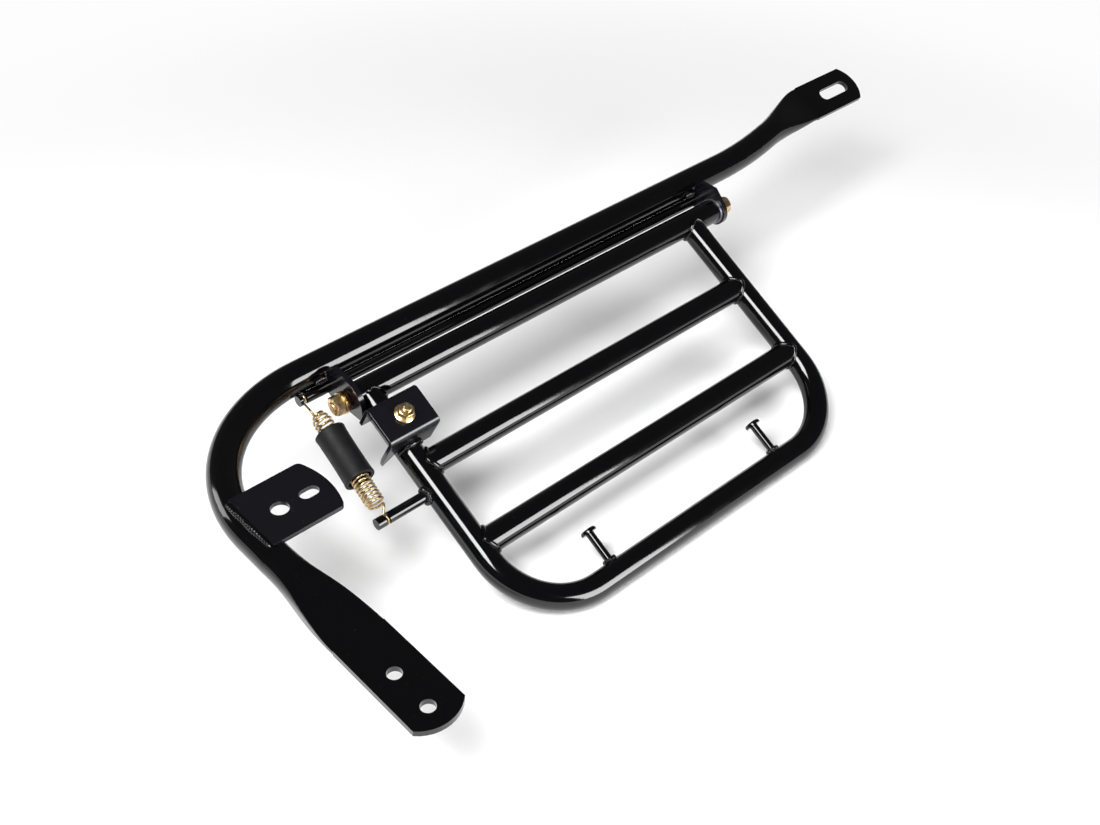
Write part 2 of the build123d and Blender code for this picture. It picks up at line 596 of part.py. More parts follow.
write(main_tube_node(tube_outside), "main_tube")
write(mount_plate, "mount_plate")
write(mount_plate_weld_node(tube_outside, mount_plate), "mount_plate_weld")
write(left_ear, "left_ear")
write(right_ear, "right_ear")
ear_welds = []
for face_x, plate in ((left_ear_x, left_ear), (right_ear_x, right_ear)):
    for x in (face_x, face_x + EAR_THICKNESS):
        ear_welds.append(ear_weld(x, -1.0, tube_outside, anchor_rod, plate))
write(solids(*ear_welds), "ear_welds")
write(anchor_rod, "spring_anchor_rod")
rod_welds = [
    rod_weld(left_ear_x - ROD_WELD, ROD_WELD, tube_outside, anchor_rod, left_ear, *ear_welds),
    rod_weld(rod_right_x - ROD_WELD, ROD_WELD, tube_outside, anchor_rod, right_ear, *ear_welds),
]
write(solids(*rod_welds), "anchor_rod_welds")

head_washer_x = right_ear_x + EAR_THICKNESS
spring_washer_x = head_washer_x + WASHER_THICKNESS
head_x = spring_washer_x + SPRING_WASHER_THICKNESS
inner_nut_x = left_ear_x - THIN_NUT_HEIGHT
washer_x = inner_nut_x - WASHER_THICKNESS
lock_nut_x = washer_x - NUT_HEIGHT
write(hinge_bolt(lock_nut_x - BOLT_TAIL, head_x), "hinge_bolt")
write(washer(hinge_right_x + END_PLAY, THRUST_WASHER_D, THRUST_WASHER_THICKNESS), "hinge_thrust_washer")
write(washer(head_washer_x), "hinge_head_washer")
write(spring_washer(spring_washer_x), "hinge_spring_washer")
write(bolt_nut(inner_nut_x, THIN_NUT_HEIGHT), "hinge_inner_nut")
write(washer(washer_x), "hinge_nut_washer")
write(bolt_nut(lock_nut_x, NUT_HEIGHT), "hinge_lock_nut")

# ---- Build the platform ----
hinge_length = hinge_right_x - hinge_left_x
hinge_outside = x_disc(hinge_left_x, hinge_y, hinge_z, hinge_r, hinge_length)
hinge_bore = x_disc(hinge_left_x, hinge_y, hinge_z, hinge_r - PLATFORM_WALL, hinge_length)
write(hinge_outside - hinge_bore, "hinge_tube")
bushes = []
for x in (hinge_left_x, hinge_right_x - BUSH_LENGTH):
    bush = x_disc(x, hinge_y, hinge_z, hinge_r - PLATFORM_WALL, BUSH_LENGTH)
    bushes.append(bush - x_disc(x, hinge_y, hinge_z, BOLT_D / 2 + BOLT_RUNNING, BUSH_LENGTH))
write(solids(*bushes), "hinge_bushes")

loop_outside = cut(loop_solid(side_r), hinge_outside)
write(loop_outside - loop_solid(side_r - PLATFORM_WALL), "platform_loop")
crossbars = []
for name, reach in (("inner_crossbar", crossbar_pitch), ("outer_crossbar", CROSSBARS * crossbar_pitch)):
    bar = cut(crossbar_solid(reach, side_r), loop_outside)
    crossbars.append(bar)
    write(bar - crossbar_solid(reach, side_r - PLATFORM_WALL), name)

# Welds on the platform stop where the hinge tube does, so they pass the ears.
past_left_x = side_left_x - PIN_OUT
past_left = x_disc(past_left_x, hinge_y, hinge_z, STOP_BACK + STOP_LENGTH, hinge_left_x - past_left_x)
platform_welds = []
for side in (-1, 1):
    for reach in (crossbar_pitch, CROSSBARS * crossbar_pitch):
        for along in (-1, 1):
            ball = lump(side * (half_width - side_r), reach + along * side_r, 0, WELD_LUMP)
            platform_welds.append(cut(ball, loop_outside, *crossbars))
    for along in (-1, 1):
        ball = lump(side * half_width + along * side_r, hinge_r, 0, WELD_LUMP)
        platform_welds.append(cut(ball, loop_outside, hinge_outside, past_left))
write(solids(*platform_welds), "platform_welds")

pin_bodies, pin_welds = [], []
for side in (-1, 1):
    pin_x = side * STRAP_PIN_SPACING / 2
    pin = cut(strap_pin(pin_x), loop_outside)
    pin_bodies.append(pin)
    pin_welds.append(cut(lump(pin_x, PLATFORM_REACH - side_r, 0, STRAP_PIN_LUMP), loop_outside, pin))
write(solids(*pin_bodies), "strap_pins")
write(solids(*pin_welds), "strap_pin_welds")

spring_pin = grooved_rod(pin_left_x, side_left_x, pin_axis.Y, pin_axis.Z, PIN_GROOVE_FROM_END)
spring_pin = cut(spring_pin, loop_outside)
write(spring_pin, "spring_pin")
pin_lump = lump(-half_width - side_r, PIN_REACH, 0, SPRING_PIN_LUMP)
write(solids(cut(pin_lump, loop_outside, spring_pin)), "spring_pin_weld")

bracket = stop_bracket_solid(loop_outside)
write(bracket, "stop_bracket")
bracket_welds = [
    bracket_weld(STOP_BACK + STOP_LENGTH + 1, loop_outside, bracket, *platform_welds),
    bracket_weld(STOP_BACK - 1, loop_outside, bracket, hinge_outside, past_left, *platform_welds),
]
write(solids(*bracket_welds), "stop_bracket_welds")
write(stop_screw_node(), "stop_screw")
write(flange_nut_node(), "stop_flange_nut")

# ---- Build the spring ----
write(spring_upper_node(), "spring_upper")
write(sleeve_node(), "spring_sleeve")
write(spring_lower_node(), "spring_lower")
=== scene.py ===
"""Dresses the CAD frame of a folding side rack: finishes, weld beads, spring wire and fasteners."""

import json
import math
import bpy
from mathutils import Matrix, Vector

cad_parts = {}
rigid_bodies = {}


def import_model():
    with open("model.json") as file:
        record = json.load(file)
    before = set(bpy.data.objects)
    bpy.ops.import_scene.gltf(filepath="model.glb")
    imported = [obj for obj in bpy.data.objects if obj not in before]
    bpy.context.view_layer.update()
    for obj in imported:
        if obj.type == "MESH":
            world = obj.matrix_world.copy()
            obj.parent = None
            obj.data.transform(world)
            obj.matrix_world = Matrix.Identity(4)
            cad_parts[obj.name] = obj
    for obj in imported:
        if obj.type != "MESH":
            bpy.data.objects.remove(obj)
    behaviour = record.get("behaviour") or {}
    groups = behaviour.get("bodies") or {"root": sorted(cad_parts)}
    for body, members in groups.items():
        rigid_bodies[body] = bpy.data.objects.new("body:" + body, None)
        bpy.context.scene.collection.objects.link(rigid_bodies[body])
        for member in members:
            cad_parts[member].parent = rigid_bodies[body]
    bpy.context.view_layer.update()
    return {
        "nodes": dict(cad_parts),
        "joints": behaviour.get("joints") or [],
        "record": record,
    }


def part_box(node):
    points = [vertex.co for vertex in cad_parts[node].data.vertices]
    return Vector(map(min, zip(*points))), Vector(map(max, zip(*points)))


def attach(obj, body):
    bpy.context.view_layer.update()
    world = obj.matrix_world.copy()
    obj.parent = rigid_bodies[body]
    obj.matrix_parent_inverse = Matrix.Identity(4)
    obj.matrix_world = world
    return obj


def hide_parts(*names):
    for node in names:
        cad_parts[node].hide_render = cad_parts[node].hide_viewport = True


bl_info = {
    "name": "Folding Side Rack",
    "version": (1, 0, 0),
    "blender": (4, 5, 0),
    "location": "3D View > Sidebar > Side Rack",
    "description": "Finishes, welds, spring and fasteners round the frame of a folding side rack",
    "category": "Object",
}

import bmesh
import bpy
import numpy as np
from mathutils import Matrix, Vector

for leftover in list(bpy.data.objects):
    bpy.data.objects.remove(leftover)
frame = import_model()
NODES = frame["nodes"]
JOINTS = {joint["name"]: joint for joint in frame["joints"]}
MM = 0.001

# ---- Places and sizes of the frame, in metres ----
TILT = math.radians(27.24)
OUT = np.array([0.0, -math.cos(TILT), -math.sin(TILT)])    # along the platform, away from the hinge
UP = np.array([0.0, -math.sin(TILT), math.cos(TILT)])      # out of the platform's top
X_DIR = np.array([1.0, 0.0, 0.0])
Y_DIR = np.array([0.0, 1.0, 0.0])
Z_DIR = np.array([0.0, 0.0, 1.0])
HINGE = np.array(JOINTS["platform_fold"]["pos_m"])
HINGE_YZ = HINGE * [0.0, 1.0, 1.0]
TUBE_R = 11.0 * MM
SIDE_R = 9.5 * MM
RAIL_HEIGHT = 255.0 * MM
CROSSBAR_REACHES = (65.0 * MM, 130.0 * MM)
OUTER_REACH = 195.0 * MM
HALF_WIDTH = 157.75 * MM
PLATFORM_X = HINGE[0]
LEFT_X, RIGHT_X = PLATFORM_X - HALF_WIDTH, PLATFORM_X + HALF_WIDTH
STRAP_PIN_X = 84.0 * MM
LEFT_EAR_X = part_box("left_ear")[0].x
RIGHT_EAR_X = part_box("right_ear")[0].x
EAR_THICKNESS = 4.0 * MM
STRAP_PIN_R = 3.0 * MM
SPRING_PIN_R = 4.0 * MM
SPRING_PIN_REACH = 83.0 * MM

FINISHES = {}       # the finish made for each of the record's material slots


def on_platform(x, reach, height=0.0):
    """A point at x, reach out from the hinge axis and height above the platform's mid-plane."""
    return HINGE_YZ + X_DIR * x + OUT * reach + UP * height


def unit(vectors):
    """The vectors over their own lengths."""
    return vectors / np.linalg.norm(vectors, axis=-1, keepdims=True)


# ---- Meshes worked out on grids ----
def grid_faces(rows, columns, closed_rows=False):
    """Quads of a grid whose columns wrap round; closed_rows joins the last row to the first."""
    row = np.arange(rows if closed_rows else rows - 1)[:, None]
    column = np.arange(columns)[None, :]
    below, beside = (row + 1) % rows, (column + 1) % columns
    corners = [row * columns + column, row * columns + beside,
               below * columns + beside, below * columns + column]
    return np.stack(np.broadcast_arrays(*corners), -1).reshape(-1, 4)


def join(*grids):
    """One point array and one face array for several (points, faces) pairs."""
    offsets = np.cumsum([0] + [len(points) for points, _ in grids[:-1]])
    faces = [part + offset for (_, part), offset in zip(grids, offsets)]
    return np.concatenate([points for points, _ in grids]), np.concatenate(faces)


MERGE_DISTANCE = 1e-6
SMOOTH_ALL = 180.0      # sharp angles, in degrees
SHARP_RINGS = 50.0      # washers and the sleeve
SHARP_TUBE = 30.0
SHARP_FASTENERS = 28.0
SHARP_PLATES = 35.0


def finish_mesh(mesh, sharp_angle):
    """Closes poles and seams, turns faces outwards and shades smooth up to the sharp angle."""
    work = bmesh.new()
    work.from_mesh(mesh)
    bmesh.ops.remove_doubles(work, verts=work.verts, dist=MERGE_DISTANCE)
    bmesh.ops.dissolve_degenerate(work, edges=work.edges, dist=MERGE_DISTANCE)
    bmesh.ops.recalc_face_normals(work, faces=work.faces)
    work.to_mesh(mesh)
    work.free()
    mesh.shade_smooth()
    mesh.set_sharp_from_angle(angle=math.radians(sharp_angle))


def piece(name, grid, slot, body, stands_for, sharp_angle=SMOOTH_ALL):
    """Makes a mesh object from (points, faces) in its slot's finish, rides it on a body and hides
    what it stands for."""
    points, faces = grid
    mesh = bpy.data.meshes.new(name)
    mesh.from_pydata(points.tolist(), [], faces.tolist())
    finish_mesh(mesh, sharp_angle)
    made = bpy.data.objects.new(name, mesh)
    bpy.context.scene.collection.objects.link(made)
    mesh.materials.append(FINISHES[slot])
    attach(made, body)
    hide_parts(*stands_for)
    return made


SKEWED = Y_DIR + 0.3 * Z_DIR                # a direction that no turned part's axis has
QUARTER = np.linspace(0, np.pi / 2, 5)      # angles of a rounded edge


def circle_about(axis, angle):
    """Unit vectors square to the axis, one for each angle round it."""
    side = unit(np.cross(axis, SKEWED))
    other = np.cross(axis, side)
    return np.cos(angle)[:, None] * side + np.sin(angle)[:, None] * other


def with_poles(points, first, last):
    """The rows of a grid between two more rows, each of which is one point repeated."""
    poles = [np.broadcast_to(pole, (1, points.shape[1], 3)) for pole in (first, last)]
    return np.concatenate([poles[0], points, poles[1]])


def wire_grid(path, radius, reference, sides=16, closed=False):
    """A round wire along a path: point = path + radius (cos a n + sin a b), where n is the
    reference less its part along the path, and b is square to both. The radius is one number, or
    one for every point of the path and every side."""
    ahead = np.roll(path, -1, 0) - np.roll(path, 1, 0) if closed else np.gradient(path, axis=0)
    along = unit(ahead)
    across = unit(reference - (reference * along).sum(-1, keepdims=True) * along)
    beside = np.cross(along, across)
    angle = np.linspace(0, 2 * np.pi, sides, endpoint=False)[None, :, None]
    ring = np.cos(angle) * across[:, None] + np.sin(angle) * beside[:, None]
    points = path[:, None] + ring * np.broadcast_to(radius, (len(path), sides))[:, :, None]
    if not closed:
        points = with_poles(points, path[0], path[-1])
    return points.reshape(-1, 3), grid_faces(len(points), sides, closed)


def turned_grid(profile, centre, axis, sides=64, closed=False):
    """A turned part: each profile pair (distance along the axis, radius) becomes a circle. A
    closed profile joins its last pair to its first."""
    profile = np.asarray(profile, float)
    ring = circle_about(axis, np.linspace(0, 2 * np.pi, sides, endpoint=False))
    points = centre + profile[:, 0, None, None] * axis + profile[:, 1, None, None] * ring[None]
    return points.reshape(-1, 3), grid_faces(len(profile), sides, closed)


FLAT_STEPS = 8          # columns on each flat of a hexagon
CHAMFER_STEPS = 6
CHAMFER_SLOPE = 1.7     # radius gained over depth
FACE_SHARE = 0.96       # radius of the turned face over half the flats


def hexagon_grid(across_flats, height, bore, centre, axis, chamfer_low=True, chamfer_high=True, twist=0.0):
    """A hexagon bar with turned ends: radius = the smaller of the flat's (half the flats over
    cos of the angle from its middle) and a cone that grows by the chamfer's slope with the depth."""
    angle = np.arange(6 * FLAT_STEPS) / (6 * FLAT_STEPS) * 2 * np.pi
    from_flat = (angle + np.pi / 6) % (np.pi / 3) - np.pi / 6
    flat_r = across_flats / 2 / np.cos(from_flat)
    corner_r = across_flats / math.sqrt(3)
    face_r = across_flats / 2 * FACE_SHARE
    depth = (corner_r - face_r) / CHAMFER_SLOPE
    ends = np.linspace(0, 1, CHAMFER_STEPS)
    low = depth * ends * chamfer_low
    high = height - depth * ends[::-1] * chamfer_high
    level = np.concatenate([[0.0], low, high, [height]])
    no_cone = np.full_like(level, corner_r)
    cone_low = face_r + (CHAMFER_SLOPE * level if chamfer_low else no_cone)
    cone_high = face_r + (CHAMFER_SLOPE * (height - level) if chamfer_high else no_cone)
    radius = np.minimum(flat_r[None], np.minimum(cone_low, cone_high)[:, None])
    radius[0] = radius[-1] = bore
    ring = circle_about(axis, angle + twist)
    points = centre + level[:, None, None] * axis + radius[:, :, None] * ring[None]
    return points.reshape(-1, 3), grid_faces(len(level), len(angle), bore > 0)


THREAD_DEPTH = 0.61     # depth of a thread over its pitch
ROWS_PER_PITCH = 10


def threaded_grid(diameter, pitch, start, length, axis, sides=48):
    """A threaded bar with a rounded point: radius falls by the thread's depth times a triangle
    wave of (distance / pitch - angle / one turn), and the last pitch tapers."""
    depth = THREAD_DEPTH * pitch
    rows = int(round(length / pitch * ROWS_PER_PITCH)) + 1
    distance = np.linspace(0, length, rows)
    angle = np.linspace(0, 2 * np.pi, sides, endpoint=False)
    phase = (distance[:, None] / pitch - angle[None] / (2 * np.pi)) % 1.0
    radius = diameter / 2 - depth * np.abs(2 * phase - 1)
    taper = np.clip((length - distance) / pitch, 0, 1)
    radius = np.minimum(radius, (diameter / 2 - depth * (1 - taper))[:, None])
    points = start + distance[:, None, None] * axis + radius[:, :, None] * circle_about(axis, angle)[None]
    points = with_poles(points, points[0].mean(0), points[-1].mean(0))
    return points.reshape(-1, 3), grid_faces(len(points), sides)


def rounded_washer(start, inner_r, outer_r, thickness, axis, edge=0.25 * MM):
    """A pressed washer whose four edges are quarter circles."""
    far, near = edge * np.sin(QUARTER), edge * np.cos(QUARTER)
    outer_low = np.stack([edge - near, outer_r - edge + far], -1)
    outer_high = np.stack([thickness - edge + far, outer_r - edge + near], -1)
    inner_high = np.stack([thickness - edge + near, inner_r + edge - far], -1)
    inner_low = np.stack([edge - far, inner_r + edge - near], -1)
    profile = np.concatenate([outer_low, outer_high, inner_high, inner_low])
    return turned_grid(profile, start, axis, closed=True)


# ---- Weld beads ----
BEAD_SIDES = 14
RIPPLE_LENGTH = 1.7 * MM
WANDER, RIPPLE_DEPTH = 0.2, 0.15    # shares of the bead's radius
WANDER_WAVES = 4
CHEVRON = 1.6                       # radians by which a ripple leads in a bead's middle
BEAD_END = 1.1                      # length of a rounded end over the bead's radius
BEAD_POINT = 0.02                   # least square of an end's radius over the bead's
SEAT_SHARE = 0.965                  # widest seat of a bar over the tube's radius
ARC_STEP, LEAST_ARC = 4.0, 12       # degrees between points, and the fewest points


def bead_grid(path, radius, reference, seed, closed=False, ripple=RIPPLE_LENGTH):
    """A weld bead: a round run whose radius swells by a chevron ripple, which is a sine of
    (distance / ripple + the angle's cosine), and wanders slowly along its length."""
    step = np.linalg.norm(np.diff(path, axis=0), axis=1)
    distance = np.concatenate([[0.0], np.cumsum(step)])
    total = distance[-1]
    angle = np.linspace(0, 2 * np.pi, BEAD_SIDES, endpoint=False)
    chooser = np.random.default_rng(seed)
    slow = sum(
        chooser.uniform(-1, 1) * np.sin(2 * np.pi * (k * distance / total + chooser.uniform())) / k
        for k in range(1, WANDER_WAVES + 1)
    )
    turns = max(round(total / ripple), 1) if closed else total / ripple
    ripples = np.sin(2 * np.pi * distance[:, None] / total * turns + CHEVRON * np.cos(angle)[None])
    shape = radius * (1 + WANDER * slow[:, None] + RIPPLE_DEPTH * ripples)
    if not closed:
        end = np.clip(np.minimum(distance, total - distance) / (BEAD_END * radius), 0, 1)
        shape = shape * np.sqrt(np.clip(1 - (1 - end) ** 2, BEAD_POINT, 1))[:, None]
    return wire_grid(path, shape, reference, BEAD_SIDES, closed)


def arc_angles(start, end, closed=False):
    """Evenly spaced angles in radians from start to end in degrees."""
    count = max(int(abs(end - start) / ARC_STEP), LEAST_ARC)
    return np.radians(np.linspace(start, end, count, endpoint=not closed))


def saddle_path(centre, bar_dir, tube_dir, bar_r, tube_r, start=0.0, end=360.0, lift=0.35 * MM):
    """Where a round bar stands on a round tube: at angle a round the bar, the distance from the
    tube's axis along the bar is sqrt(tube radius^2 - (bar radius sin a)^2)."""
    angle = arc_angles(start, end, closed=end - start >= 360.0)
    seat_r = min(bar_r, tube_r * SEAT_SHARE)
    height = np.sqrt(np.maximum(tube_r ** 2 - (seat_r * np.sin(angle)) ** 2, 0))
    normal = np.cross(bar_dir, tube_dir)
    around = np.cos(angle)[:, None] * tube_dir + np.sin(angle)[:, None] * normal
    return centre + (height + lift)[:, None] * bar_dir + (seat_r + lift) * around


def arc_path(centre, first, second, radius, start, end):
    """An arc about a centre: centre + radius (cos a first + sin a second)."""
    angle = arc_angles(start, end)
    return centre + radius * (np.cos(angle)[:, None] * first + np.sin(angle)[:, None] * second)


def straight_path(start, end, count=30):
    """Evenly spaced points from start to end."""
    return np.linspace(start, end, count)


def beads(name, runs, body, node):
    """One piece from several weld beads, in the place of a CAD node."""
    return piece(name, join(*runs), "enamelled_weld", body, [node])


# ---- Node materials ----
ENAMEL_IOR, RUBBER_IOR, NYLON_IOR = 1.5, 1.52, 1.53
NOISE_LOW, NOISE_HIGH = 0.3, 0.7    # between which most of a noise's values lie


def linear(hex_colour):
    """An sRGB hex colour as linear red, green, blue and alpha 1, by the sRGB standard's curve."""
    channels = [int(hex_colour[i:i + 2], 16) / 255 for i in (1, 3, 5)]
    return tuple(c / 12.92 if c <= 0.04045 else ((c + 0.055) / 1.055) ** 2.4 for c in channels) + (1.0,)


def feed(tree, node, inputs):
    """Gives a node its inputs; each is a plain value or another node's output."""
    for key, value in inputs.items():
        if isinstance(value, bpy.types.NodeSocket):
            tree.links.new(value, node.inputs[key])
        else:
            node.inputs[key].default_value = value


def add(tree, kind, inputs=None, **settings):
    """Adds a node with its settings and inputs."""
    made = tree.nodes.new(kind)
    for key, value in settings.items():
        setattr(made, key, value)
    feed(tree, made, inputs or {})
    return made


def new_material(name):
    """An empty node material with its shader: returns the material, its tree, shader and coordinates."""
    material = bpy.data.materials.new(name)
    material.use_nodes = True
    tree = material.node_tree
    tree.nodes.clear()
    shader = add(tree, "ShaderNodeBsdfPrincipled")
    add(tree, "ShaderNodeOutputMaterial", {"Surface": shader.outputs["BSDF"]})
    coordinates = add(tree, "ShaderNodeTexCoord").outputs["Object"]
    return material, tree, shader, coordinates


def ramp(tree, factor, stops):
    """A colour ramp over (position, hex colour) stops."""
    made = add(tree, "ShaderNodeValToRGB", {"Fac": factor})
    elements = made.color_ramp.elements
    while len(elements) < len(stops):
        elements.new(0.5)
    for element, (position, colour) in zip(elements, stops):
        element.position = position
        element.color = linear(colour)
    return made.outputs["Color"]


def noise(tree, coordinates, size, detail=3.0, roughness=0.5):
    """Noise whose lumps are about as large as the given size in metres."""
    inputs = {"Vector": coordinates, "Scale": 1 / size, "Detail": detail, "Roughness": roughness}
    return add(tree, "ShaderNodeTexNoise", inputs).outputs["Fac"]


def spread(tree, factor, low, high):
    """A 0 to 1 factor stretched over low to high."""
    inputs = {
        "Value": factor, "From Min": NOISE_LOW, "From Max": NOISE_HIGH, "To Min": low, "To Max": high}
    return add(tree, "ShaderNodeMapRange", inputs).outputs["Result"]


def bump(tree, height, distance):
    """A bump of the given depth in metres."""
    inputs = {"Height": height, "Distance": distance, "Strength": 1.0}
    return add(tree, "ShaderNodeBump", inputs).outputs["Normal"]


def enamel(name, colour, dust_colour, smooth, rough, peel_depth):
    """Baked enamel over steel: deep colour under a hard gloss, a slight orange peel about 2 mm
    wide, and thin dust that dulls it in soft clouds and a few specks."""
    material, tree, shader, coordinates = new_material(name)
    clouds = noise(tree, coordinates, 18 * MM, detail=4.0)
    specks = noise(tree, coordinates, 0.9 * MM, detail=1.0)
    speck_mask = add(tree, "ShaderNodeMapRange", {"Value": specks, "From Min": 0.76, "From Max": 0.82})
    base = add(tree, "ShaderNodeMix", {
        "Factor": speck_mask.outputs["Result"], "A": linear(colour), "B": linear(dust_colour)},
        data_type="RGBA")
    feed(tree, shader, {
        "Base Color": base.outputs["Result"],
        "Roughness": spread(tree, clouds, smooth, rough),
        "Normal": bump(tree, noise(tree, coordinates, 2.2 * MM, detail=1.5), peel_depth),
        "IOR": ENAMEL_IOR,
    })
    return material


def scuffed_plate_and_sheen(name):
    """Half-gloss enamel on sheet steel, greyer in patches of fine streaks about 0.5 mm wide that run
    along Y: partly rubbed scuffs, partly painted highlight standing in for faint sheen on the plate."""
    material, tree, shader, coordinates = new_material(name)
    stretched = add(tree, "ShaderNodeMapping", {"Vector": coordinates, "Scale": (1.0, 0.12, 1.0)})
    streak_noise = noise(tree, stretched.outputs["Vector"], 0.5 * MM, detail=4.0, roughness=0.7)
    patch = noise(tree, coordinates, 14 * MM, detail=3.0)
    patch_mask = add(tree, "ShaderNodeMapRange", {"Value": patch, "From Min": 0.52, "From Max": 0.72})
    streak_mask = add(tree, "ShaderNodeMapRange", {"Value": streak_noise, "From Min": 0.6, "From Max": 0.72})
    wear_and_sheen = add(tree, "ShaderNodeMath", {
        0: patch_mask.outputs["Result"], 1: streak_mask.outputs["Result"]}, operation="MULTIPLY")
    # the grey mixed in is partly scuff wear and partly painted highlight
    base = add(tree, "ShaderNodeMix", {
        "Factor": wear_and_sheen.outputs["Value"], "A": linear("#0b0b10"), "B": linear("#44444b")}, data_type="RGBA")
    feed(tree, shader, {
        "Base Color": base.outputs["Result"],
        "Roughness": spread(tree, patch, low=0.16, high=0.24),
        "Normal": bump(tree, noise(tree, coordinates, 1.6 * MM, detail=2.0), distance=0.02 * MM),
        "IOR": ENAMEL_IOR,
    })
    return material


def passivated(name, stops, smooth, rough, patch_size):
    """Passivated zinc plate on steel: a bright metal whose thin film drifts in hue over patches,
    with a slight unevenness that blurs its gloss."""
    material, tree, shader, coordinates = new_material(name)
    film = noise(tree, coordinates, patch_size, detail=2.0)
    feed(tree, shader, {
        "Base Color": ramp(tree, spread(tree, film, low=0.0, high=1.0), stops),
        "Roughness": spread(tree, noise(tree, coordinates, 3.0 * MM), smooth, rough),
        "Normal": bump(tree, noise(tree, coordinates, 2.0 * MM, detail=2.0), distance=0.006 * MM),
        "Metallic": 1.0,
    })
    return material


def extruded_rubber(name):
    """Extruded synthetic rubber: matt charcoal with a fine grain and a bloom of grey dust."""
    material, tree, shader, coordinates = new_material(name)
    bloom = noise(tree, coordinates, 9 * MM, detail=4.0)
    feed(tree, shader, {
        "Base Color": ramp(tree, bloom, ((0.3, "#08080a"), (0.62, "#0c0c0e"), (0.8, "#151517"))),
        "Roughness": spread(tree, bloom, low=0.5, high=0.66),
        "Normal": bump(tree, noise(tree, coordinates, 0.8 * MM, detail=3.0), distance=0.03 * MM),
        "IOR": RUBBER_IOR,
        "Specular IOR Level": 0.25,
    })
    return material


def turned_nylon(name):
    """Turned nylon: off-white and waxy, with a low soft gloss."""
    material, tree, shader, coordinates = new_material(name)
    tone = noise(tree, coordinates, 6 * MM)
    feed(tree, shader, {
        "Base Color": ramp(tree, tone, ((0.3, "#d5d2c6"), (0.7, "#e4e1d8"))),
        "Normal": bump(tree, noise(tree, coordinates, 0.6 * MM), distance=0.01 * MM),
        "Roughness": 0.4,
        "IOR": NYLON_IOR,
    })
    return material


# ---- Settings a user would change ----
class RackFinishSettings(bpy.types.PropertyGroup):
    enamel_colour: bpy.props.StringProperty(
        name="Enamel", description="Colour of the baked enamel, as sRGB hex", default="#030304")
    dust_colour: bpy.props.StringProperty(
        name="Dust", description="Colour of the dust specks on the enamel, as sRGB hex", default="#2c2b2d")
    gloss_roughness: bpy.props.FloatProperty(
        name="Gloss roughness", description="Roughness of the enamel where it is cleanest",
        default=0.055, min=0.0, max=1.0, subtype="FACTOR")
    peel_depth: bpy.props.FloatProperty(
        name="Orange peel", description="Depth of the enamel's orange peel",
        default=0.012 * MM, min=0.0, precision=6, unit="LENGTH")


class RackWeldSettings(bpy.types.PropertyGroup):
    bead_radius: bpy.props.FloatProperty(
        name="Bead", description="Radius of a weld bead round a tube joint",
        default=1.75 * MM, min=0.0, precision=5, unit="LENGTH")
    pin_bead_radius: bpy.props.FloatProperty(
        name="Pin bead", description="Radius of a weld bead round a pin",
        default=1.5 * MM, min=0.0, precision=5, unit="LENGTH")
    plate_bead_radius: bpy.props.FloatProperty(
        name="Plate bead", description="Radius of the run along the mounting plate",
        default=2.3 * MM, min=0.0, precision=5, unit="LENGTH")


class RackSpringSettings(bpy.types.PropertyGroup):
    wire_radius: bpy.props.FloatProperty(
        name="Wire", description="Radius of the spring wire",
        default=0.8 * MM, min=0.0, precision=5, unit="LENGTH")
    coil_radius: bpy.props.FloatProperty(
        name="Coil", description="Radius of the coil on the wire's centre",
        default=5.9 * MM, min=0.0, precision=5, unit="LENGTH")
    upper_pitch: bpy.props.FloatProperty(
        name="Upper pitch", description="Rise of one turn above the sleeve",
        default=3.3 * MM, min=0.0, precision=5, unit="LENGTH")
    lower_pitch: bpy.props.FloatProperty(
        name="Lower pitch", description="Rise of one turn below the sleeve",
        default=2.75 * MM, min=0.0, precision=5, unit="LENGTH")


class RackStageSettings(bpy.types.PropertyGroup):
    floor_colour: bpy.props.StringProperty(
        name="Floor", description="Colour of the floor, as sRGB hex", default="#fdfdfd")
    floor_height: bpy.props.FloatProperty(
        name="Floor height", description="Height of the floor in the rack's own frame",
        default=-106.8 * MM, precision=4, unit="LENGTH")
    lens: bpy.props.FloatProperty(
        name="Lens", description="Focal length of the camera, in millimetres on a 36 mm sensor",
        default=44.967, min=1.0)


SETTINGS = (RackFinishSettings, RackWeldSettings, RackSpringSettings, RackStageSettings)


# ---- Operators ----
CAMERA_POSITION = (-0.2626, -0.3710, 0.5848)
CAMERA_RIGHT, CAMERA_UP = (0.7365, -0.6760, 0.0266), (0.4270, 0.4949, 0.7568)
SENSOR_WIDTH = 36.0
NEAREST, FARTHEST = 0.01, 50.0


class RACK_OT_camera(bpy.types.Operator):
    """Place the camera at the fitted viewing angle"""
    bl_idname = "rack.camera"
    bl_label = "Camera"

    def execute(self, context):
        right = Vector(CAMERA_RIGHT).normalized()
        ahead = Vector(CAMERA_UP).cross(right).normalized()
        up = right.cross(ahead).normalized()
        data = bpy.data.cameras.new("camera")
        data.sensor_width = SENSOR_WIDTH
        data.lens = context.scene.rack_stage.lens
        data.clip_start, data.clip_end = NEAREST, FARTHEST
        camera = bpy.data.objects.new("camera", data)
        context.scene.collection.objects.link(camera)
        turn = Matrix((right, up, -ahead)).transposed()
        camera.matrix_world = Matrix.Translation(Vector(CAMERA_POSITION)) @ turn.to_4x4()
        context.scene.camera = camera
        return {"FINISHED"}


ENAMEL_DULLING, WELD_DULLING = 0.07, 0.1    # roughness that the dust adds
WELD_PEEL = 3                               # peel on a weld over peel on a tube


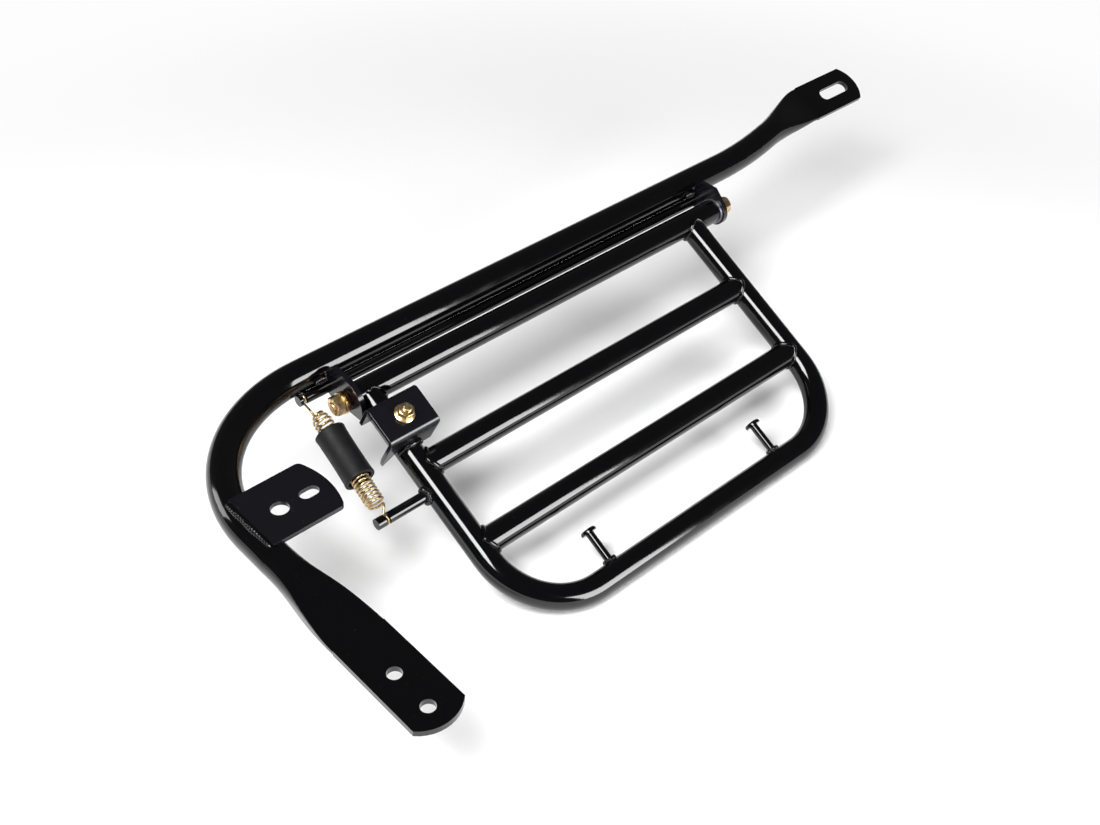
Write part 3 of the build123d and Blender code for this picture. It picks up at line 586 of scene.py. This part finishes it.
class RACK_OT_finishes(bpy.types.Operator):
    """Make every finish and give the CAD nodes theirs"""
    bl_idname = "rack.finishes"
    bl_label = "Finishes"

    def execute(self, context):
        look = context.scene.rack_finish
        gloss = look.gloss_roughness
        FINISHES["black_gloss_enamel"] = enamel(
            "black_gloss_enamel", look.enamel_colour, look.dust_colour, gloss, gloss + ENAMEL_DULLING,
            look.peel_depth)
        FINISHES["enamelled_weld"] = enamel(
            "enamelled_weld", look.enamel_colour, look.dust_colour, gloss, gloss + WELD_DULLING,
            WELD_PEEL * look.peel_depth)
        FINISHES["black_plate_enamel"] = scuffed_plate_and_sheen("black_plate_enamel")
        FINISHES["yellow_zinc"] = passivated("yellow_zinc", (
            (0.0, "#a98f5c"), (0.3, "#cdb682"), (0.5, "#e2d2a4"), (0.68, "#cf9f80"), (1.0, "#a8a26a")),
            smooth=0.26, rough=0.36, patch_size=6 * MM)
        FINISHES["dark_bronze_zinc"] = passivated("dark_bronze_zinc", (
            (0.0, "#3a2415"), (0.5, "#6b4223"), (1.0, "#9a6a3a")),
            smooth=0.22, rough=0.4, patch_size=4 * MM)
        FINISHES["bare_zinc"] = passivated("bare_zinc", (
            (0.0, "#7d7d83"), (0.5, "#9b9ba2"), (1.0, "#8a8690")),
            smooth=0.28, rough=0.42, patch_size=5 * MM)
        FINISHES["zinc_spring_wire"] = passivated("zinc_spring_wire", (
            (0.0, "#8f7346"), (0.45, "#b59b6a"), (0.7, "#d2bf95"), (1.0, "#a8846a")),
            smooth=0.24, rough=0.34, patch_size=4 * MM)
        FINISHES["black_rubber"] = extruded_rubber("black_rubber")
        FINISHES["bearing_nylon"] = turned_nylon("bearing_nylon")
        slots = {part["node"]: part["material_slot"] for part in frame["record"]["subparts"]}
        for node, shown in NODES.items():
            for place in shown.material_slots:
                place.material = FINISHES[slots[node]]
        return {"FINISHED"}


HINGE_BEAD_HALF = 118.0     # degrees that the left hinge bead runs to each side
PIN_LIFT, SPRING_PIN_LIFT = 0.6 * MM, 0.7 * MM
BRACKET_LIFT, EAR_LIFT = 0.5 * MM, 0.4 * MM
BRACKET_RUNS = ((50.4 * MM, 14, 166), (18.2 * MM, 20, 128))     # reach, start and end in degrees
EAR_RUN = (160, 203)        # start and end in degrees round the rail
ROD_BEAD_RADIUS, ROD_RUN = 2.1 * MM, 10 * MM
ROD_GROOVE = [RAIL_HEIGHT - 12.2 * MM, -1.6 * MM]               # Y and Z of the rod's seam on the rail
EAR_BEAD_OUT = 0.5 * MM     # from the ear's face
PLATE_BEAD_X, PLATE_RIPPLE, PLATE_STEPS = -1.2 * MM, 2.4 * MM, 60
# seeds of the beads' wandering
LEFT_SEED, RIGHT_SEED, STRAP_SEED, PIN_SEED, BRACKET_SEED, ROD_SEED, PLATE_SEED = 11, 12, 20, 31, 41, 7, 3


class RACK_OT_platform_welds(bpy.types.Operator):
    """Run weld beads round every joint of the platform"""
    bl_idname = "rack.platform_welds"
    bl_label = "Platform Welds"

    def execute(self, context):
        weld = context.scene.rack_weld
        bead, pin_bead = weld.bead_radius, weld.pin_bead_radius
        runs = []
        for side_x, inward in ((LEFT_X, X_DIR), (RIGHT_X, -X_DIR)):
            for reach in CROSSBAR_REACHES:
                path = saddle_path(on_platform(side_x, reach), inward, OUT, SIDE_R, SIDE_R)
                runs.append(bead_grid(path, bead, inward, len(runs), closed=True))
        left = saddle_path(
            on_platform(LEFT_X, 0), OUT, X_DIR, SIDE_R, SIDE_R, -HINGE_BEAD_HALF, HINGE_BEAD_HALF)
        runs.append(bead_grid(left, bead, OUT, LEFT_SEED))
        right = saddle_path(on_platform(RIGHT_X, 0), OUT, X_DIR, SIDE_R, SIDE_R)
        runs.append(bead_grid(right, bead, OUT, RIGHT_SEED, closed=True))
        beads("platform_weld_beads", runs, "platform", "platform_welds")
        runs = []
        for side in (-1, 1):
            centre = on_platform(PLATFORM_X + side * STRAP_PIN_X, OUTER_REACH)
            path = saddle_path(centre, -OUT, X_DIR, STRAP_PIN_R, SIDE_R, lift=PIN_LIFT)
            runs.append(bead_grid(path, pin_bead, -OUT, STRAP_SEED + side, closed=True))
        beads("strap_pin_beads", runs, "platform", "strap_pin_welds")
        path = saddle_path(
            on_platform(LEFT_X, SPRING_PIN_REACH), -X_DIR, OUT, SPRING_PIN_R, SIDE_R, lift=SPRING_PIN_LIFT)
        runs = [bead_grid(path, bead, -X_DIR, PIN_SEED, closed=True)]
        beads("spring_pin_bead", runs, "platform", "spring_pin_weld")
        runs = []
        for reach, start, end in BRACKET_RUNS:
            path = arc_path(on_platform(LEFT_X, reach), X_DIR, UP, SIDE_R + BRACKET_LIFT, start, end)
            runs.append(bead_grid(path, bead, OUT, BRACKET_SEED))
        beads("stop_bracket_beads", runs, "platform", "stop_bracket_welds")
        return {"FINISHED"}


class RACK_OT_frame_welds(bpy.types.Operator):
    """Run weld beads at the ears, the anchor rod and the mounting plate"""
    bl_idname = "rack.frame_welds"
    bl_label = "Frame Welds"

    def execute(self, context):
        weld = context.scene.rack_weld
        runs = []
        for ear_x in (LEFT_EAR_X, RIGHT_EAR_X):
            for face_x, outward in ((ear_x, -1), (ear_x + EAR_THICKNESS, 1)):
                centre = np.array([face_x + outward * EAR_BEAD_OUT, RAIL_HEIGHT, 0.0])
                path = arc_path(centre, Y_DIR, Z_DIR, TUBE_R + EAR_LIFT, *EAR_RUN)
                runs.append(bead_grid(path, weld.pin_bead_radius, X_DIR, len(runs)))
        beads("ear_beads", runs, "frame", "ear_welds")
        low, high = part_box("anchor_rod_welds")
        runs = []
        for start_x in (low.x, high.x - ROD_RUN):
            path = straight_path([start_x, *ROD_GROOVE], [start_x + ROD_RUN, *ROD_GROOVE])
            runs.append(bead_grid(path, ROD_BEAD_RADIUS, Z_DIR, ROD_SEED + len(runs)))
        beads("anchor_rod_beads", runs, "frame", "anchor_rod_welds")
        low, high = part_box("mount_plate_weld")
        radius = weld.plate_bead_radius
        level = high.z - radius
        path = straight_path([PLATE_BEAD_X, low.y, level], [PLATE_BEAD_X, high.y, level], PLATE_STEPS)
        beads("mount_plate_bead", [bead_grid(path, radius, Z_DIR, PLATE_SEED, ripple=PLATE_RIPPLE)],
              "frame", "mount_plate_weld")
        return {"FINISHED"}


HOOK_R = 3.15 * MM
HOOK_ARC = (20, 270)        # degrees
STEM_REACH = 14 * MM        # strength of the stem's directions
STEM_LEAVING = 0.9          # share of it where the stem leaves the hook
NECK_GROWTH = 0.47          # radius gained over advance
HOOK_STEPS, STEM_STEPS, TURN_STEPS, WIRE_SIDES = 60, 24, 36, 10
SPRING_SHIFT = 3.0 * MM     # of the coils' axis from the top pivot along X
# start from the pivot, turns, first angle in radians, hand of the hook, neck's radius
UPPER_COIL = (13.4 * MM, 6.5, math.radians(200), -1, 2.7 * MM)
LOWER_COIL = (11.5 * MM, 9, math.radians(20), 1, 4.8 * MM)
SLEEVE_START, SLEEVE_LENGTH = 30.6 * MM, 40.0 * MM
SLEEVE_R, SLEEVE_BORE_R = 10.5 * MM, 8.2 * MM
SLEEVE_EDGE, SLEEVE_LIP, SLEEVE_WAIST = 0.5 * MM, 0.35 * MM, 0.12 * MM
SLEEVE_STEPS = 24
LIP_DECAY = 14              # how fast a lip sinks into the wall over the sleeve's length


def hook_and_coil(coil_r, pitch, centre, axis_point, along, start, turns, coil_start, hand, neck):
    """A spring end: an arc round the anchor's groove, a curved stem (a cubic between two points
    and their directions) and a helix about the spring's axis, whose radius grows from the neck
    with what it advances, up to the coil's."""
    flat = unit(along * [0.0, 1.0, 1.0])
    side = np.cross(X_DIR, flat)
    angle = hand * np.radians(np.linspace(*HOOK_ARC, HOOK_STEPS))
    ring = centre + HOOK_R * (np.cos(angle)[:, None] * flat + np.sin(angle)[:, None] * side)
    first = unit(np.cross(along, np.cross(X_DIR, along)))
    second = np.cross(along, first)
    turn = np.linspace(0, turns * 2 * np.pi, int(turns * TURN_STEPS)) + coil_start
    advance = start + pitch * (turn - coil_start) / (2 * np.pi)
    radius = np.minimum(coil_r, neck + NECK_GROWTH * (advance - start))
    around = np.cos(turn)[:, None] * first + np.sin(turn)[:, None] * second
    coil = axis_point + advance[:, None] * along + radius[:, None] * around
    t = np.linspace(0, 1, STEM_STEPS)[1:-1, None]
    leave, arrive = flat * STEM_REACH * STEM_LEAVING, unit(coil[1] - coil[0]) * STEM_REACH
    stem = ((2 * t ** 3 - 3 * t ** 2 + 1) * ring[-1] + (t ** 3 - 2 * t ** 2 + t) * leave
            + (3 * t ** 2 - 2 * t ** 3) * coil[0] + (t ** 3 - t ** 2) * arrive)
    return np.concatenate([ring, stem, coil])


def sleeve_profile():
    """A pushed-on sleeve: rounded ends, a lip that decays from each of them as exp(-distance),
    a waist of half a sine wave, and a plain bore."""
    edge, length, bore = SLEEVE_EDGE, SLEEVE_LENGTH, SLEEVE_BORE_R
    near = np.stack(
        [edge * (1 - np.cos(QUARTER)), SLEEVE_R + SLEEVE_LIP - edge * (1 - np.sin(QUARTER))], -1)
    body = np.linspace(0, 1, SLEEVE_STEPS)
    lips = np.exp(-body * LIP_DECAY) + np.exp(-(1 - body) * LIP_DECAY)
    wall = np.stack([2 * edge + (length - 4 * edge) * body,
                     SLEEVE_R + SLEEVE_LIP * lips - SLEEVE_WAIST * np.sin(np.pi * body)], -1)
    far = near[::-1] * [-1, 1] + [length, 0]
    inside = np.array([[length - edge / 2, bore + edge / 2], [length - 2 * edge, bore], [2 * edge, bore],
                       [edge / 2, bore + edge / 2]])
    return np.concatenate([near, wall, far, inside])


class RACK_OT_spring(bpy.types.Operator):
    """Wind both halves of the spring and turn its sleeve"""
    bl_idname = "rack.spring"
    bl_label = "Spring and Sleeve"

    def execute(self, context):
        settings = context.scene.rack_spring
        top_pivot = np.array(JOINTS["spring_top_swing"]["pos_m"])
        low_pivot = np.array(JOINTS["spring_bottom_swing"]["pos_m"])
        axis_point = top_pivot + X_DIR * SPRING_SHIFT
        along = unit(low_pivot - axis_point)
        upper = hook_and_coil(
            settings.coil_radius, settings.upper_pitch, top_pivot, axis_point, along, *UPPER_COIL)
        lower = hook_and_coil(
            settings.coil_radius, settings.lower_pitch, low_pivot, low_pivot, -along, *LOWER_COIL)
        for half, path, body in (("upper", upper, "spring_top"), ("lower", lower, "spring_bottom")):
            piece(f"spring_{half}_wire", wire_grid(path, settings.wire_radius, X_DIR, WIRE_SIDES),
                  "zinc_spring_wire", body, [f"spring_{half}"])
        sleeve = turned_grid(sleeve_profile(), axis_point + along * SLEEVE_START, along, closed=True)
        piece("rubber_sleeve", sleeve, "black_rubber", "spring_top", ["spring_sleeve"], SHARP_RINGS)
        return {"FINISHED"}


HINGE_D, HINGE_PITCH, HINGE_FLATS = 8.0 * MM, 1.25 * MM, 13.0 * MM
HINGE_THREAD = 30 * MM      # length of the hinge bolt's thread
HINGE_NUT_BITE = 0.3 * MM   # by which a nut's bore is smaller than the bolt
HINGE_WASHER_BORE_R = 4.2 * MM
DISH_DEPTH = 0.1 * MM
DISH = [[0, 0], [0.02 * MM, 3.4 * MM], [0.3 * MM, 3.9 * MM], [0.3 * MM, 4.4 * MM],
        [-0.2 * MM, 4.6 * MM], [-0.2 * MM, 0]]      # forged dish in the head: distance, radius


class RACK_OT_hinge_fasteners(bpy.types.Operator):
    """Turn the hinge bolt, its nuts and its washers"""
    bl_idname = "rack.hinge_fasteners"
    bl_label = "Hinge Fasteners"

    def execute(self, context):
        def at(x):
            return HINGE_YZ + X_DIR * x

        low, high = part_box("hinge_bolt")
        head_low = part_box("hinge_spring_washer")[1].x
        thread_end = low.x + HINGE_THREAD
        plain = head_low - thread_end
        shank = turned_grid([[0, 0], [0, HINGE_D / 2], [plain, HINGE_D / 2], [plain, 0]],
                            at(thread_end), X_DIR, sides=32)
        thread = threaded_grid(HINGE_D, HINGE_PITCH, at(thread_end), HINGE_THREAD, -X_DIR)
        head = hexagon_grid(HINGE_FLATS, high.x - head_low, 0.0, at(head_low), X_DIR,
                            chamfer_low=False, twist=0.35)
        dish = turned_grid(DISH, at(high.x - DISH_DEPTH), X_DIR, sides=48)
        piece("hinge_bolt_turned", join(shank, thread, head, dish), "yellow_zinc", "frame",
              ["hinge_bolt"], SHARP_FASTENERS)
        for node, twist, slot in (("hinge_lock_nut", 0.2, "yellow_zinc"),
                                  ("hinge_inner_nut", 0.6, "dark_bronze_zinc")):
            low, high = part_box(node)
            nut = hexagon_grid(HINGE_FLATS, high.x - low.x, HINGE_D / 2 - HINGE_NUT_BITE, at(low.x), X_DIR,
                               twist=twist)
            piece(f"{node}_turned", nut, slot, "frame", [node], SHARP_FASTENERS)
        for node, slot in (("hinge_nut_washer", "yellow_zinc"), ("hinge_head_washer", "yellow_zinc"),
                           ("hinge_thrust_washer", "bare_zinc")):
            low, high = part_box(node)
            ring = rounded_washer(at(low.x), HINGE_WASHER_BORE_R, (high.y - low.y) / 2, high.x - low.x, X_DIR)
            piece(f"{node}_pressed", ring, slot, "frame", [node], SHARP_RINGS)
        return {"FINISHED"}


STOP_REACH, STOP_TOP = 34.25 * MM, 26.0 * MM    # the nut's seat on the bracket
STOP_D, STOP_PITCH, STOP_FLATS = 6.0 * MM, 1.0 * MM, 10.0 * MM
STOP_OUT, STOP_IN = 10.0 * MM, 4 * MM           # the thread above and below its seat
STOP_HEAD_HEIGHT, STOP_HEAD_DEPTH = 4.0 * MM, 7 * MM
STOP_NUT_HEIGHT, STOP_NUT_LIFT, STOP_NUT_BITE = 5.4 * MM, 0.8 * MM, 0.2 * MM
FLANGE = [[0, 3.0 * MM], [0, 6.9 * MM], [0.25 * MM, 7.1 * MM], [0.8 * MM, 7.0 * MM],
          [1.5 * MM, 5.6 * MM], [1.9 * MM, 4.9 * MM], [1.9 * MM, 3.0 * MM]]     # distance, radius


class RACK_OT_stop_screw(bpy.types.Operator):
    """Turn the stop screw and its flanged nut"""
    bl_idname = "rack.stop_screw"
    bl_label = "Stop Screw"

    def execute(self, context):
        seat = on_platform(LEFT_X, STOP_REACH, STOP_TOP)
        thread = threaded_grid(STOP_D, STOP_PITCH, seat - UP * STOP_IN, STOP_OUT + STOP_IN, UP)
        head = hexagon_grid(STOP_FLATS, STOP_HEAD_HEIGHT, 0.0, seat - UP * STOP_HEAD_DEPTH, UP,
                            chamfer_high=False)
        piece("stop_screw_turned", join(thread, head), "yellow_zinc", "platform", ["stop_screw"],
              SHARP_FASTENERS)
        flange = turned_grid(FLANGE, seat, UP, closed=True)
        nut = hexagon_grid(STOP_FLATS, STOP_NUT_HEIGHT, STOP_D / 2 - STOP_NUT_BITE, seat + UP * STOP_NUT_LIFT,
                           UP, chamfer_low=False, twist=0.45)
        piece("stop_flange_nut_turned", join(flange, nut), "yellow_zinc", "platform",
              ["stop_flange_nut"], SHARP_FASTENERS)
        return {"FINISHED"}


# node, width of its rounded edges, body
PLATES = (
    ("mount_plate", 0.5 * MM, "frame"), ("left_ear", 0.35 * MM, "frame"),
    ("right_ear", 0.35 * MM, "frame"), ("stop_bracket", 0.45 * MM, "platform"),
)


def drop_custom_normals(mesh):
    """Leaves a copied mesh to shade by its own faces."""
    if mesh.has_custom_normals:
        mesh.attributes.remove(mesh.attributes["custom_normal"])


def eased_copy(node, name, width, slot, body):
    """A copy of a CAD node's mesh with its seams merged and its sharp edges rounded."""
    angle = math.radians(SHARP_PLATES)
    made = bpy.data.objects.new(name, NODES[node].data.copy())
    bpy.context.scene.collection.objects.link(made)
    work = bmesh.new()
    work.from_mesh(made.data)
    bmesh.ops.remove_doubles(work, verts=work.verts, dist=MERGE_DISTANCE)
    bmesh.ops.dissolve_limit(work, angle_limit=math.radians(1.0), verts=work.verts, edges=work.edges)
    work.to_mesh(made.data)
    work.free()
    drop_custom_normals(made.data)
    made.data.materials.clear()
    made.data.materials.append(FINISHES[slot])
    made.data.shade_smooth()
    made.data.set_sharp_from_angle(angle=angle)
    rounding = made.modifiers.new("rounding", "BEVEL")
    rounding.width = width
    rounding.segments = 3
    rounding.limit_method = "ANGLE"
    rounding.angle_limit = angle
    rounding.harden_normals = True
    rounding.use_clamp_overlap = True
    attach(made, body)
    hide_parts(node)
    return made


LEG_ROUND_Y = 122.0 * MM       # the leg is a round tube above this height along Y
FOOT_FLAT_Y = 48.0 * MM        # and a flat strip below this one
FOOT_SHIFT = 1.5 * MM
ROUND_LENGTH = 0.4 * MM        # short round run where the pressed foot butts on the tube
FLAT_WIDTH, FLAT_THICKNESS = 34.8 * MM, 4.0 * MM
FOOT_ROWS, FOOT_SIDES = 60, 96
FOOT_FALL, PUNCH_FALL = 1.5, 1.5
ROUND_POWER, POWER_GAIN = 2, 7


def pressed_foot_grid():
    """The leg's pressed taper. Its outline at share t of the way is a superellipse whose half
    width grows from the tube's radius r to w, whose half height falls later from r to f, and whose
    power grows from 2 to 9. A flat punch has pressed its top down to f + (r - f)(1 - t)^1.5, which
    leaves a tongue-shaped facet with a rounded flank at each side."""
    t = np.linspace(0, 1, FOOT_ROWS)[:, None]
    eased_t = t * t * (3 - 2 * t)
    w, f = FLAT_WIDTH / 2, FLAT_THICKNESS / 2
    half_width = TUBE_R + (w - TUBE_R) * eased_t
    half_height = TUBE_R + (f - TUBE_R) * eased_t ** FOOT_FALL
    power = ROUND_POWER + POWER_GAIN * eased_t ** 2
    angle = np.linspace(0, 2 * np.pi, FOOT_SIDES, endpoint=False)[None]
    across, up = np.cos(angle), np.sin(angle)
    x = half_width * np.sign(across) * np.abs(across) ** (2 / power)
    z = half_height * np.sign(up) * np.abs(up) ** (2 / power)
    punch = f + (TUBE_R - f) * (1 - t) ** PUNCH_FALL
    z = np.minimum(z, punch)
    y = LEG_ROUND_Y - (LEG_ROUND_Y - FOOT_FLAT_Y) * t
    y[0] = LEG_ROUND_Y + ROUND_LENGTH
    points = np.stack([x + FOOT_SHIFT * t, np.broadcast_to(y, x.shape), z], -1)
    points = with_poles(points, points[0].mean(0), points[-1].mean(0))
    return points.reshape(-1, 3), grid_faces(len(points), FOOT_SIDES)


def cut_copy(node, name, level, keep_above):
    """A copy of a CAD node's mesh on one side of a plane across Y, with its cut closed."""
    mesh = NODES[node].data.copy()
    mesh.name = name
    work = bmesh.new()
    work.from_mesh(mesh)
    bmesh.ops.remove_doubles(work, verts=work.verts, dist=MERGE_DISTANCE)
    everything = work.verts[:] + work.edges[:] + work.faces[:]
    cut = bmesh.ops.bisect_plane(
        work, geom=everything, plane_co=(0, level, 0), plane_no=(0, 1, 0),
        clear_inner=keep_above, clear_outer=not keep_above)
    rim = [part for part in cut["geom_cut"] if isinstance(part, bmesh.types.BMEdge)]
    if not rim:
        raise RuntimeError(f"{name}: the cut has no rim")
    if keep_above:
        bmesh.ops.bridge_loops(work, edges=rim)
    else:
        bmesh.ops.edgeloop_fill(work, edges=rim)
    bmesh.ops.recalc_face_normals(work, faces=work.faces)
    work.to_mesh(mesh)
    work.free()
    drop_custom_normals(mesh)
    return mesh


class RACK_OT_main_tube(bpy.types.Operator):
    """Press the main tube's foot with a flat punch"""
    bl_idname = "rack.main_tube"
    bl_label = "Main Tube"

    def execute(self, context):
        upper = cut_copy("main_tube", "main_tube_upper", LEG_ROUND_Y + ROUND_LENGTH, True)
        lower = cut_copy("main_tube", "main_tube_foot", FOOT_FLAT_Y, False)
        made = piece("main_tube_pressed", pressed_foot_grid(), "black_gloss_enamel", "frame",
                     ["main_tube"], SHARP_TUBE)
        work = bmesh.new()
        for mesh in (made.data, upper, lower):
            work.from_mesh(mesh)
        for face in work.faces:
            face.material_index = 0
            face.smooth = True
        work.to_mesh(made.data)
        work.free()
        made.data.set_sharp_from_angle(angle=math.radians(SHARP_TUBE))
        return {"FINISHED"}


class RACK_OT_plates(bpy.types.Operator):
    """Round the edges of the plate, the ears and the stop bracket"""
    bl_idname = "rack.plates"
    bl_label = "Plates"

    def execute(self, context):
        for node, width, body in PLATES:
            eased_copy(node, f"{node}_eased", width, "black_plate_enamel", body)
        return {"FINISHED"}


LAMP_TARGET = (0.29, 0.15, 0.0)
# name, azimuth and elevation in degrees, distance, width, height, radiance
LAMPS = (
    ("front_softbox", -72, 13, 1.6, 0.75, 1.0, 14.0),
    ("left_softbox", 196, 53, 1.5, 0.85, 0.6, 21.0),
    ("back_softbox", 128, 12, 1.5, 0.4, 0.5, 5.0),
)
FLOOR_HALF = 8.0
FLOOR_MIDDLE = (-0.3, -0.15, 0.0)       # moves the paper's middle under the rack
LIT_RADIUS, PLAIN_RADIUS = 0.35, 0.9    # between which the paper turns to plain white
ROOM_LIGHT = 0.07


def lamp(context, name, azimuth, elevation, distance, width, height, radiance):
    """An area lamp at an azimuth and elevation from the target, facing it. Its power is radiance
    times pi times its area."""
    a, e = math.radians(azimuth), math.radians(elevation)
    away = Vector((math.cos(a) * math.cos(e), math.sin(a) * math.cos(e), math.sin(e)))
    data = bpy.data.lights.new(name, "AREA")
    data.shape, data.size, data.size_y = "RECTANGLE", width, height
    data.energy = radiance * math.pi * width * height
    made = bpy.data.objects.new(name, data)
    context.scene.collection.objects.link(made)
    turn = away.to_track_quat("Z", "Y").to_matrix().to_4x4()
    made.matrix_world = Matrix.Translation(Vector(LAMP_TARGET) + away * distance) @ turn


class RACK_OT_stage(bpy.types.Operator):
    """Lay the white floor and set the studio lamps"""
    bl_idname = "rack.stage"
    bl_label = "Stage"

    def execute(self, context):
        stage = context.scene.rack_stage
        half, level = FLOOR_HALF, stage.floor_height
        mesh = bpy.data.meshes.new("floor")
        corners = [(-half, -half, level), (half, -half, level), (half, half, level), (-half, half, level)]
        mesh.from_pydata(corners, [], [(0, 1, 2, 3)])
        floor = bpy.data.objects.new("floor", mesh)
        context.scene.collection.objects.link(floor)
        mesh.materials.append(self.paper(stage.floor_colour))
        for row in LAMPS:
            lamp(context, *row)
        self.studio(context)
        return {"FINISHED"}

    def paper(self, colour):
        """Matt white paper: plain white by itself far off, lit and shadowed near the rack."""
        material, tree, shader, coordinates = new_material("floor_paper")
        feed(tree, shader, {"Base Color": linear(colour), "Roughness": 0.9, "Specular IOR Level": 0.1})
        glow = add(tree, "ShaderNodeEmission", {"Color": linear(colour), "Strength": 1.0})
        middle = add(tree, "ShaderNodeMapping", {"Vector": coordinates, "Location": FLOOR_MIDDLE})
        distance = add(tree, "ShaderNodeVectorMath", {0: middle.outputs["Vector"]}, operation="LENGTH")
        far = add(tree, "ShaderNodeMapRange", {
            "Value": distance.outputs["Value"], "From Min": LIT_RADIUS, "From Max": PLAIN_RADIUS},
            interpolation_type="SMOOTHSTEP")
        mixed = add(tree, "ShaderNodeMixShader", {
            0: far.outputs["Result"], 1: shader.outputs["BSDF"], 2: glow.outputs["Emission"]})
        output = next(n for n in tree.nodes if n.type == "OUTPUT_MATERIAL")
        tree.links.new(mixed.outputs["Shader"], output.inputs["Surface"])
        return material

    def studio(self, context):
        """A dim room round the rack, and plain white where the camera looks past the floor."""
        world = bpy.data.worlds.new("studio")
        context.scene.world = world
        world.use_nodes = True
        tree = world.node_tree
        tree.nodes.clear()
        rays = add(tree, "ShaderNodeLightPath")
        room = add(tree, "ShaderNodeBackground", {"Color": linear("#ffffff"), "Strength": ROOM_LIGHT})
        white = add(tree, "ShaderNodeBackground", {"Color": linear("#fdfdfd"), "Strength": 1.0})
        mixed = add(tree, "ShaderNodeMixShader", {
            0: rays.outputs["Is Camera Ray"], 1: room.outputs["Background"], 2: white.outputs["Background"]})
        add(tree, "ShaderNodeOutputWorld", {"Surface": mixed.outputs["Shader"]})
        context.scene.view_settings.view_transform = "Standard"


STEPS = (
    RACK_OT_camera, RACK_OT_finishes, RACK_OT_platform_welds, RACK_OT_frame_welds, RACK_OT_spring,
    RACK_OT_hinge_fasteners, RACK_OT_stop_screw, RACK_OT_main_tube, RACK_OT_plates, RACK_OT_stage,
)


class RACK_PT_panel(bpy.types.Panel):
    """Lists the rack's steps and settings"""
    bl_idname = "RACK_PT_panel"
    bl_label = "Side Rack"
    bl_space_type = "VIEW_3D"
    bl_region_type = "UI"
    bl_category = "Side Rack"

    def draw(self, context):
        for group in ("rack_finish", "rack_weld", "rack_spring", "rack_stage"):
            box = self.layout.box()
            settings = getattr(context.scene, group)
            for name in settings.__annotations__:
                box.prop(settings, name)
        for step in STEPS:
            self.layout.operator(step.bl_idname)


def register():
    for group in SETTINGS:
        bpy.utils.register_class(group)
    bpy.types.Scene.rack_finish = bpy.props.PointerProperty(type=RackFinishSettings)
    bpy.types.Scene.rack_weld = bpy.props.PointerProperty(type=RackWeldSettings)
    bpy.types.Scene.rack_spring = bpy.props.PointerProperty(type=RackSpringSettings)
    bpy.types.Scene.rack_stage = bpy.props.PointerProperty(type=RackStageSettings)
    for step in STEPS:
        bpy.utils.register_class(step)
    bpy.utils.register_class(RACK_PT_panel)


def unregister():
    bpy.utils.unregister_class(RACK_PT_panel)
    for step in reversed(STEPS):
        bpy.utils.unregister_class(step)
    for name in ("rack_finish", "rack_weld", "rack_spring", "rack_stage"):
        delattr(bpy.types.Scene, name)
    for group in reversed(SETTINGS):
        bpy.utils.unregister_class(group)


def main():
    register()
    for step in STEPS:
        group, action = step.bl_idname.split(".")
        getattr(getattr(bpy.ops, group), action)()


if __name__ == "__main__":
    main()
